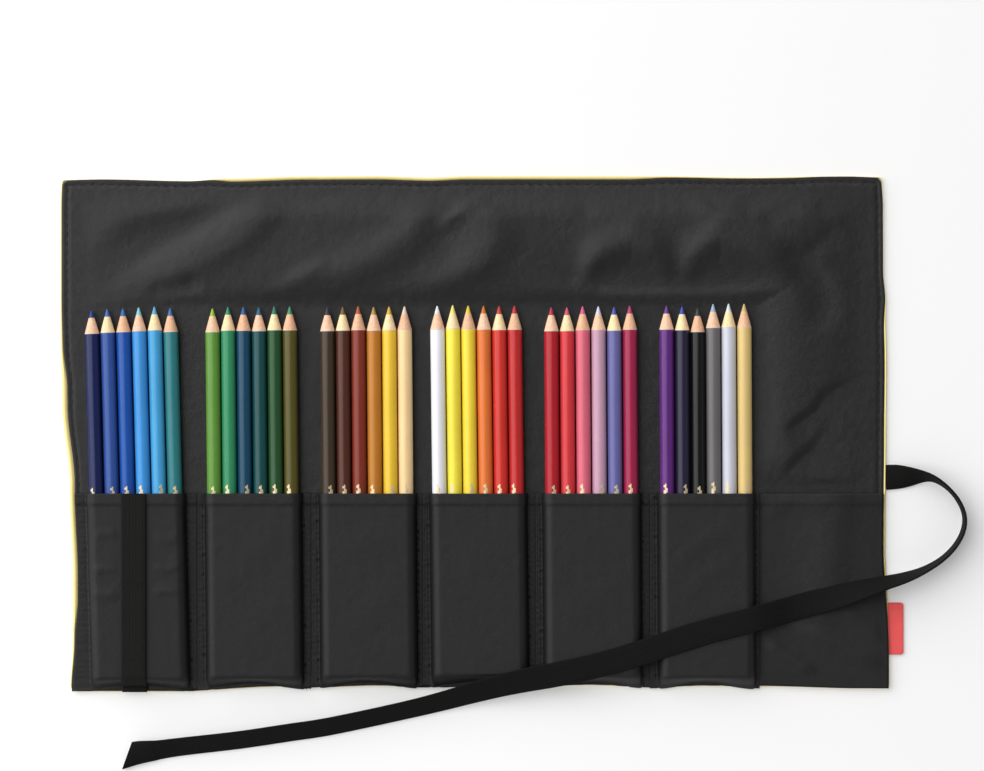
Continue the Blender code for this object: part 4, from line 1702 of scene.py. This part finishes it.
@dataclass
class Pockets:
    """The strip of pockets: seven fronts, and the stitching of their hem and of the seams between them."""

    plan: SheetPlan
    pencils: list[PencilPlace]
    finish: ClothFinish
    thread: ThreadFinish
    stitch: float = 0.0019
    stitch_pitch: float = 0.0027
    stitch_radius: float = 0.00011
    hem_stretch: float = 1.15
    hem_line: float = 0.0011
    hem_lift: float = 0.00003
    seam_foot: float = 0.004
    seam_head: float = 0.001
    seam_beside: float = 0.0009
    seam_lift: float = 0.00012

    def front(self, number: int) -> PocketFront:
        """The front of one pocket, with its row of pencils."""
        row = [place for place in self.pencils if place.panel == number]
        return PocketFront(number, self.plan, row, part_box(f"pocket_{number}")[0].z)

    def build(self) -> list[bpy.types.Object]:
        """Builds the fronts and their stitching.

        Returns:
            The pieces.
        """
        cloth, thread = self.finish.material(), self.thread.material()
        pieces = []
        for number in range(1, len(self.plan.folds) + 2):
            front = self.front(number)
            pieces.append(front.build(cloth))
            pieces.append(self.stitching(front, thread))
        return pieces

    def stitching(self, front: PocketFront, material: bpy.types.Material) -> bpy.types.Object:
        """Builds the stitches along a front's hem and along the seam at its left side.

        Args:
            front: The front.
            material: The thread.

        Returns:
            The stitches as one piece.
        """
        bm = bmesh.new()
        points, _ = front.shape()
        line = front.mouth - front.hem + self.hem_line
        row = points[np.abs(points[:, len(points[0]) // 2, 1] - line).argmin()]
        run = run_along(row[:, ::2])
        count = int(run[-1] / (self.stitch_pitch * self.hem_stretch))
        half, lift = self.stitch / 2, Vector((0, 0, front.hem_cloth + self.hem_lift))
        for number in range(count):
            middle = (number + 0.5) * run[-1] / count
            add_stitch(bm, place_at(middle - half, run, row) + lift, place_at(middle + half, run, row) + lift,
                       self.stitch_radius)
        if front.number > 1:
            x, z = front.side(-1, 0) + self.seam_beside, front.floor + front.cloth + self.seam_lift
            foot, head = self.plan.bottom + self.seam_foot, front.mouth - self.seam_head
            for y in places(foot, head, self.stitch_pitch):
                add_stitch(bm, Vector((x, y - half, z)), Vector((x, y + half, z)), self.stitch_radius)
        piece = make_piece(f"pocket_stitching_{front.number}", bm, material)
        fasten(piece, f"panel_{front.number}", "pocket_cloth")
        return piece


# Webbing

TAPE_SECTION = (
    (-0.5, 0.0), (-0.488, 0.32), (-0.455, 0.5), (-0.30, 0.46), (-0.10, 0.48), (0.10, 0.48), (0.30, 0.46),
    (0.455, 0.5), (0.488, 0.32), (0.5, 0.0), (0.488, -0.32), (0.455, -0.5), (0.30, -0.46), (0.10, -0.48),
    (-0.10, -0.48), (-0.30, -0.46), (-0.455, -0.5), (-0.488, -0.32), (-0.5, 0.0),
)


def tape(centres: Sequence[Vector], sides: Sequence[Vector], ups: Sequence[Vector],
         width: float, thicknesses: Sequence[float]) -> bmesh.types.BMesh:
    """Makes a closed length of flat tape.

    Args:
        centres: The middle of each station along it.
        sides: The direction across it at each station.
        ups: The direction through it at each station.
        width: Its width.
        thicknesses: Its thickness at each station.

    Returns:
        The tape, with its map along and across it.
    """
    run = [0.0]
    for near, far in zip(centres, centres[1:]):
        run.append(run[-1] + (far - near).length)
    points = [[centre + side * (across * width) + up * (through * thickness)
               for across, through in TAPE_SECTION]
              for centre, side, up, thickness in zip(centres, sides, ups, thicknesses)]
    around = [across * width for across, _ in TAPE_SECTION]
    weave = [[(place, along) for place in around] for along in run]
    bm = grid(np.array(points), np.array(weave))
    bmesh.ops.remove_doubles(bm, verts=bm.verts[:], dist=MERGE_DISTANCE)
    rims = [edge for edge in bm.edges if edge.is_boundary]
    bmesh.ops.holes_fill(bm, edges=rims, sides=0)
    bmesh.ops.recalc_face_normals(bm, faces=bm.faces[:])
    return bm


@dataclass
class ClosingStrap:
    """The closing strap: free webbing from the right edge, over the last pockets and along the table."""

    finish: bpy.types.Material
    thread: ThreadFinish
    width: float = 0.0116
    thickness: float = 0.0010
    stations: int = 190
    route_steps: int = 16
    end_slant: float = 0.0042
    end_share: float = 0.025
    hem: float = 0.0145
    hem_thickness: float = 0.0017
    hem_fade: float = 0.0009
    root: float = 0.0007
    swung_level: float = 0.0024
    sharp_degrees: float = 60.0
    stitches: int = 5
    stitch_radius: float = 0.00022
    stitch_lift: float = 0.00005
    stitch_half_share: float = 0.065
    stitched_share: float = 0.92
    stitched_place: float = 0.8
    route: tuple[tuple[float, float, float, float], ...] = (
        (0.1882, -0.0202, 0.0010, 0.0),
        (0.1930, -0.0199, 0.0019, 12.0),
        (0.2010, -0.0195, 0.0052, 50.0),
        (0.2085, -0.0204, 0.0064, 76.0),
        (0.2150, -0.0243, 0.0066, 86.0),
        (0.2204, -0.0302, 0.0066, 88.0),
        (0.2236, -0.0376, 0.0066, 89.0),
        (0.2230, -0.0450, 0.0066, 88.0),
        (0.2192, -0.0520, 0.0066, 87.0),
        (0.2132, -0.0580, 0.0067, 85.0),
        (0.2053, -0.0628, 0.0070, 80.0),
        (0.1964, -0.0663, 0.0079, 70.0),
        (0.1876, -0.0687, 0.0085, 61.0),
        (0.1778, -0.0715, 0.0078, 48.0),
        (0.1676, -0.0745, 0.0061, 28.0),
        (0.1527, -0.0786, 0.0041, 6.0),
        (0.1425, -0.0814, 0.0044, 0.0),
        (0.1347, -0.0834, 0.0074, 0.0),
        (0.1276, -0.0851, 0.0100, 0.0),
        (0.1198, -0.0872, 0.0106, 0.0),
        (0.1012, -0.0921, 0.0106, 0.0),
        (0.0827, -0.0981, 0.0106, 0.0),
        (0.0715, -0.1018, 0.0106, 0.0),
        (0.0530, -0.1071, 0.0106, -2.0),
        (0.0349, -0.1111, 0.0106, -6.0),
        (0.0200, -0.1139, 0.0101, -15.0),
        (0.0084, -0.1165, 0.0090, -23.0),
        (-0.0050, -0.1201, 0.0070, -31.0),
        (-0.0195, -0.1242, 0.0053, -38.0),
        (-0.0380, -0.1287, 0.0047, -42.0),
        (-0.0705, -0.1356, 0.0047, -42.0),
        (-0.0900, -0.1386, 0.0047, -42.0),
        (-0.1122, -0.1419, 0.0047, -42.0),
        (-0.1382, -0.1449, 0.0047, -41.0),
        (-0.1498, -0.1465, 0.0045, -37.0),
        (-0.1588, -0.1479, 0.0036, -24.0),
        (-0.1648, -0.1494, 0.0028, -12.0),
    )

    def smooth_route(self) -> list[Vector]:
        """Even stations along a smooth curve through the route's points, as positions with their turns.

        Returns:
            X, Y, Z and the turn in radians at each station.
        """
        points = [Vector((*point[:3], radians(point[3]))) for point in self.route]
        padded = [points[0] * 2 - points[1]] + points + [points[-1] * 2 - points[-2]]
        fine = []
        for before, start, end, after in zip(padded, padded[1:], padded[2:], padded[3:]):
            for step in range(self.route_steps):
                t = step / self.route_steps
                bend = before * 2 - start * 5 + end * 4 - after
                fine.append((start * 2 + (end - before) * t + bend * t * t
                             + (start * 3 - before - end * 3 + after) * t ** 3) / 2)
        fine.append(points[-1])
        table = np.array(fine)
        run = run_along(table[:, :3])
        wanted = np.linspace(0, run[-1], self.stations)
        even = np.column_stack([np.interp(wanted, run, column) for column in table.T])
        return [Vector(row) for row in even]

    def build(self) -> list[bpy.types.Object]:
        """Returns:
            The strap and the stitching of its end.
        """
        stations = self.smooth_route()
        places_along = [station.xyz for station in stations]
        length = sum((far - near).length for near, far in zip(places_along, places_along[1:]))
        centres, sides, ups, thicknesses = [], [], [], []
        for number, station in enumerate(stations):
            near, far = places_along[max(number - 1, 0)], places_along[min(number + 1, len(stations) - 1)]
            along = (far - near).normalized()
            level = Vector((0, 0, 1)).cross(along).normalized()
            upright = along.cross(level)
            side = level * cos(station.w) + upright * sin(station.w)
            share = number / (len(stations) - 1)
            slant = max(share - 1 + self.end_share, 0) / self.end_share * self.end_slant
            folded = ease((self.hem - (1 - share) * length) / self.hem_fade)
            centres.append(station.xyz)
            sides.append(side + Vector((along.x, along.y, 0)) * (slant * 2 / self.width))
            ups.append(along.cross(side))
            thicknesses.append(self.thickness + (self.hem_thickness - self.thickness) * folded)
        first_step = (centres[1] - centres[0]).normalized()
        centres.insert(0, centres[0] - first_step * self.root)
        for row in (sides, ups, thicknesses):
            row.insert(0, row[0])
        strap = make_piece("strap_webbing", tape(centres, sides, ups, self.width, thicknesses), self.finish,
                           sharp=self.sharp_degrees)
        fasten(strap, "strap", "webbing", "closing_strap")
        ends = self.end_stitches(centres, sides, ups)
        for piece in (strap, ends):
            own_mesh(piece)
        LOG.info("closing strap: %.3f m long", length)
        return [strap, ends]

    def end_stitches(self, centres: Sequence[Vector], sides: Sequence[Vector],
                     ups: Sequence[Vector]) -> bpy.types.Object:
        """Builds the row of stitches that holds the turned end.

        Args:
            centres: The strap's stations.
            sides: The direction across it at each.
            ups: The direction through it at each.

        Returns:
            The stitches.
        """
        bm = bmesh.new()
        at = len(centres) - 1 - round(self.hem * self.stitched_place / (centres[-1] - centres[-2]).length)
        place = centres[at] + ups[at] * (self.hem_thickness / 2 + self.stitch_lift)
        half = self.width * self.stitch_half_share
        for number in range(self.stitches):
            middle = (number - self.stitches // 2) / self.stitches * self.width * self.stitched_share
            add_stitch(bm, place + sides[at] * (middle - half), place + sides[at] * (middle + half),
                       self.stitch_radius)
        piece = make_piece("strap_end_stitching", bm, self.thread.material())
        fasten(piece, "strap", "webbing")
        return piece


@dataclass
class WebbingBand:
    """The band sewn down the first pocket, from its mouth to the sheet's bottom edge."""

    front: PocketFront
    finish: bpy.types.Material
    thread: ThreadFinish
    width: float = 0.0116
    thickness: float = 0.0010
    gap: float = 0.00012
    tail: float = 0.0006
    mouth_rows: int = 8
    sharp_degrees: float = 60.0
    stitch_radius: float = 0.00020
    stitch_half: float = 0.0011
    stitch_pitch: float = 0.0031
    side_share: float = 0.40
    side_lift: float = 0.00003
    side_foot: float = 0.004
    side_head: float = 0.003
    cross_seam: float = -0.0697
    cross_lines: tuple[float, ...] = (0.0, 0.0016)
    cross_stitches: tuple[float, ...] = (-0.285, -0.095, 0.095, 0.285)
    cross_half: float = 0.0009
    cross_lift: float = 0.00005

    def build(self) -> list[bpy.types.Object]:
        """Builds the band over the pocket's front and its stitches.

        Returns:
            The band and its stitches.
        """
        low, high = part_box("webbing_band")
        middle = (low.x + high.x) / 2
        points, _ = self.front.full()
        outer = [Vector((middle, *(float(np.interp(middle, row[:, 0], row[:, axis])) for axis in (1, 2))))
                 for row in points]
        tail = outer[0] + Vector((0, -self.tail, 0))
        outer = [tail] + outer[:-self.mouth_rows:2] + outer[-self.mouth_rows:]
        lift = self.front.hem_cloth + self.gap + self.thickness / 2
        centres, ups = [], []
        for number, place in enumerate(outer):
            along = (outer[min(number + 1, len(outer) - 1)] - outer[max(number - 1, 0)]).normalized()
            up = Vector((1, 0, 0)).cross(along)
            centres.append(place + up * lift)
            ups.append(up)
        sides = [Vector((1, 0, 0))] * len(centres)
        bm = tape(centres, sides, ups, self.width, [self.thickness] * len(centres))
        band = make_piece("band_webbing", bm, self.finish, sharp=self.sharp_degrees)
        fasten(band, "panel_1", "webbing", "webbing_band")
        self.front.mouth - self.front.plan.bottom
        return [band, self.stitches(centres, ups)]

    def stitches(self, centres: Sequence[Vector], ups: Sequence[Vector]) -> bpy.types.Object:
        """Builds the rows of stitches along both sides of the band and across it.

        Args:
            centres: The band's stations.
            ups: The direction through it at each.

        Returns:
            The stitches.
        """
        table = np.array([tuple(centre + up * (self.thickness / 2)) for centre, up in zip(centres, ups)])
        run = run_along(table)
        bm = bmesh.new()
        for middle in places(self.side_foot, run[-1] - self.side_head, self.stitch_pitch):
            near = place_at(middle - self.stitch_half, run, table)
            far = place_at(middle + self.stitch_half, run, table)
            for side in (-self.side_share, self.side_share):
                across = Vector((side * self.width, 0, self.side_lift))
                add_stitch(bm, near + across, far + across, self.stitch_radius)
        height = float(np.interp(self.cross_seam, table[:, 1], table[:, 2])) + self.cross_lift
        half = Vector((self.cross_half, 0, 0))
        for line in self.cross_lines:
            for share in self.cross_stitches:
                place = Vector((float(table[0, 0]) + share * self.width, self.cross_seam + line, height))
                add_stitch(bm, place - half, place + half, self.stitch_radius)
        piece = make_piece("band_stitching", bm, self.thread.material())
        fasten(piece, "panel_1", "webbing")
        return piece


@dataclass
class SideTag:
    """The folded tag caught in the sheet's right edge, its two layers and the fold at its outer side."""

    finish: ClothFinish
    layer: float = 0.00034
    corner: float = 0.0012
    caught: float = 0.0011
    column_step: float = 0.0005
    row_step: float = 0.0006
    fold_degrees: tuple[int, ...] = (60, 30, 0, -30, -60)
    corner_share: float = 0.8

    def build(self) -> bpy.types.Object:
        """Builds the tag as a strip that is folded back on itself.

        Returns:
            The tag.
        """
        low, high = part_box("side_tag")
        start, outer = low.x - self.caught, high.x
        bend = (high.z - low.z - self.layer) / 2
        middle_z = (low.z + high.z) / 2
        flat = places(start, outer - bend, self.column_step)
        path = [(x, middle_z + bend) for x in flat]
        path += [(outer - bend + bend * cos(radians(turn)), middle_z + bend * sin(radians(turn)))
                 for turn in self.fold_degrees]
        path += [(x, middle_z - bend) for x in flat[::-1]]
        run = run_along(np.array(path))
        rows = places(low.y, high.y, self.row_step)
        points = []
        for y in rows:
            line = []
            for x, z in path:
                beyond = max(x - (outer - self.corner), 0) / self.corner
                pull = self.corner * (1 - (1 - min(beyond, 1) ** 2) ** 0.5)
                held = (y - (low.y + high.y) / 2) / ((high.y - low.y) / 2)
                shift = -held * pull if abs(held) > self.corner_share else -held * pull * abs(held)
                line.append((x, y + shift, z))
            points.append(line)
        weave = np.array([[(along, y) for along in run] for y in rows])
        piece = make_piece("folded_tag", grid(np.array(points), weave), self.finish.material())
        wall = piece.modifiers.new("cloth", "SOLIDIFY")
        wall.thickness = self.layer
        wall.offset = 0
        fasten(piece, "panel_7", "tag_cloth", "side_tag")
        return piece


# Camera, table and light

@dataclass
class Studio:
    """A camera that looks straight down, a pale table, one broad lamp at the left and a soft room."""

    centre: tuple[float, float] = (0.0047, 0.0225)
    camera_height: float = 2.0
    seen_width: float = 0.4566
    seen_height: float = 0.004
    sensor: float = 36.0
    table_size: float = 12.0
    table_tone: float = 0.72
    table_glow: float = 0.28
    # How far the table's glow dims at the right, and how fast: a painted falloff of light
    painted_falloff_low: float = 0.6
    painted_falloff_rate: float = 2.0
    lamp_place: tuple[float, float, float] = (-5.00, 2.88, 5.22)
    lamp_size: tuple[float, float] = (10.2, 13.0)
    lamp_power: float = 1080.0
    room_low: float = 1.05
    room_high: float = 0.10
    room_right: float = 0.35

    def camera(self) -> None:
        """Makes the camera."""
        data = bpy.data.cameras.new("camera")
        data.sensor_width = self.sensor
        data.lens = self.sensor * (self.camera_height - self.seen_height) / self.seen_width
        eye = bpy.data.objects.new("camera", data)
        eye.location = (*self.centre, self.camera_height)
        bpy.context.collection.objects.link(eye)
        bpy.context.scene.camera = eye

    def lamp(self) -> None:
        """Makes the broad lamp, turned towards the middle of the sheet."""
        data = bpy.data.lights.new("left_softbox", "AREA")
        data.shape = "RECTANGLE"
        data.size, data.size_y = self.lamp_size
        data.energy = self.lamp_power
        lamp = bpy.data.objects.new("left_softbox", data)
        lamp.location = self.lamp_place
        lamp.rotation_euler = Vector(self.lamp_place).to_track_quat("Z", "Y").to_euler()
        bpy.context.collection.objects.link(lamp)

    def room(self) -> None:
        """Makes the soft room: paler near the horizon than overhead, and white to the camera."""
        world = bpy.data.worlds.new("room")
        bpy.context.scene.world = world
        board = Board(world)
        direction = board.node("TexCoord")
        parts = board.node("SeparateXYZ", None, {0: board.wire(direction, "Generated")})
        height = board.wire(parts, 2).math("MAXIMUM", 0.0) * (self.room_high - self.room_low) + self.room_low
        tone = height * (1 - board.wire(parts, 0).math("MAXIMUM", 0.0) * self.room_right)
        seen = board.wire(board.node("LightPath"), "Is Camera Ray")
        strength = seen + (1 - seen) * tone
        made = board.node("Background", None, {"Color": (1, 1, 1, 1), "Strength": strength})
        board.node("OutputWorld", None, {"Surface": board.wire(made)})

    def table(self) -> None:
        """Makes the table top, white to the camera but for the object's soft shadow and a painted falloff of
        light, its glow dimming towards the right.
        """
        bm = bmesh.new()
        bmesh.ops.create_grid(bm, x_segments=8, y_segments=8, size=self.table_size / 2)
        board = Board.material("table")
        tone = (self.table_tone, self.table_tone, self.table_tone, 1.0)
        paper = board.noise(board.place(), 700.0, 2.0)
        matte = board.node("BsdfDiffuse", None, {"Color": tone, "Normal": board.bump(paper, 0.00001)})
        # The glow dims from white at the left to a lower share at the right: painted falloff of light on the
        # table
        along = board.wire(board.node("SeparateXYZ", None, {0: board.place()}), 0)
        far = (along * self.painted_falloff_rate + 0.5).math("MINIMUM", 1.0).math("MAXIMUM", 0.0)
        glow = board.mix(far, (1, 1, 1, 1), (self.painted_falloff_low, self.painted_falloff_low, self.painted_falloff_low, 1))
        bright = board.node("Emission", None, {"Color": glow, "Strength": self.table_glow})
        both = board.node("AddShader", None, {0: board.wire(matte), 1: board.wire(bright)})
        seen = board.wire(board.node("LightPath"), "Is Camera Ray")
        mixed = board.node("MixShader", None, {0: seen, 1: board.wire(matte), 2: board.wire(both)})
        board.node("OutputMaterial", None, {"Surface": board.wire(mixed)})
        table = make_piece("table", bm, board.owner)
        table.data.shade_flat()

    def build(self) -> None:
        """Sets up the studio."""
        bpy.context.scene.view_settings.view_transform = "Standard"
        self.camera()
        self.lamp()
        self.room()
        self.table()


# The roll

BLACK_THREAD = ThreadFinish("black_thread", (27, 27, 28))


class PencilRoll:
    """The whole object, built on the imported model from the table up."""

    def __init__(self) -> None:
        """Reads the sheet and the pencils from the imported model."""
        self.plan = SheetPlan.from_frame()
        self.pencils = Pencils(read_pencils(Pencils([]).length))
        self.webbing = WebbingFinish().material()
        lining_low, lining_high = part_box("lining_2")
        cover_low, cover_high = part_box("cover_2")
        self.cover = SheetLayer(Layer.COVER, self.plan, ClothFinish(
            "cover_cloth", (246, 228, 158), (236, 212, 132), roughness=0.62, thread=0.00036,
            thread_depth=0.00003, shine=0.4), cover_low.z, cover_high.z - cover_low.z, 0.0)
        self.lining = SheetLayer(Layer.LINING, self.plan, ClothFinish(
            "lining_cloth", (27, 27, 28), (21, 21, 22), roughness=0.38, shine=0.35), lining_low.z,
            lining_high.z - lining_low.z, 0.0010)
        self.pockets = Pockets(self.plan, self.pencils.places, ClothFinish(
            "pocket_cloth", (29, 29, 29), (23, 23, 23), roughness=0.52, shine=0.27), BLACK_THREAD)

    def build(self) -> None:
        """Builds the sub-assemblies in order and reports each piece."""
        self.report("strap", ClosingStrap(self.webbing, BLACK_THREAD).build())
        self.report("cover", self.cover.build())
        self.report("lining", self.lining.build())
        self.report("edge stitching", EdgeStitching(self.lining, BLACK_THREAD).build())
        self.report("pockets", self.pockets.build())
        band = WebbingFinish("band_webbing", (24, 24, 23), (15, 15, 14), shine=0.2).material()
        self.report("band", WebbingBand(self.pockets.front(1), band, BLACK_THREAD).build())
        tag = ClothFinish("tag_cloth", (240, 92, 90), (224, 78, 78), roughness=0.7, thread=0.0003,
                          thread_depth=0.00003, shine=0.4, sheen=0.1)
        self.report("tag", [SideTag(tag).build()])
        self.report("pencils", self.pencils.build())

    def report(self, part: str, pieces: Sequence[bpy.types.Object]) -> None:
        """Logs the pieces of one sub-assembly."""
        for piece in pieces:
            LOG.info("%s: %s, %d faces", part, piece.name, len(piece.data.polygons))


def main() -> None:
    """Builds the studio and the roll."""
    logging.basicConfig(level=logging.INFO, format="%(message)s")
    Studio().build()
    PencilRoll().build()
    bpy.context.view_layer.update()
    away, height = hypot(*Studio.lamp_place[:2]), Studio.lamp_place[2]
    LOG.info("key lamp from %.0f degrees above the table", degrees(atan2(height, away)))


if __name__ == "__main__":
    main()
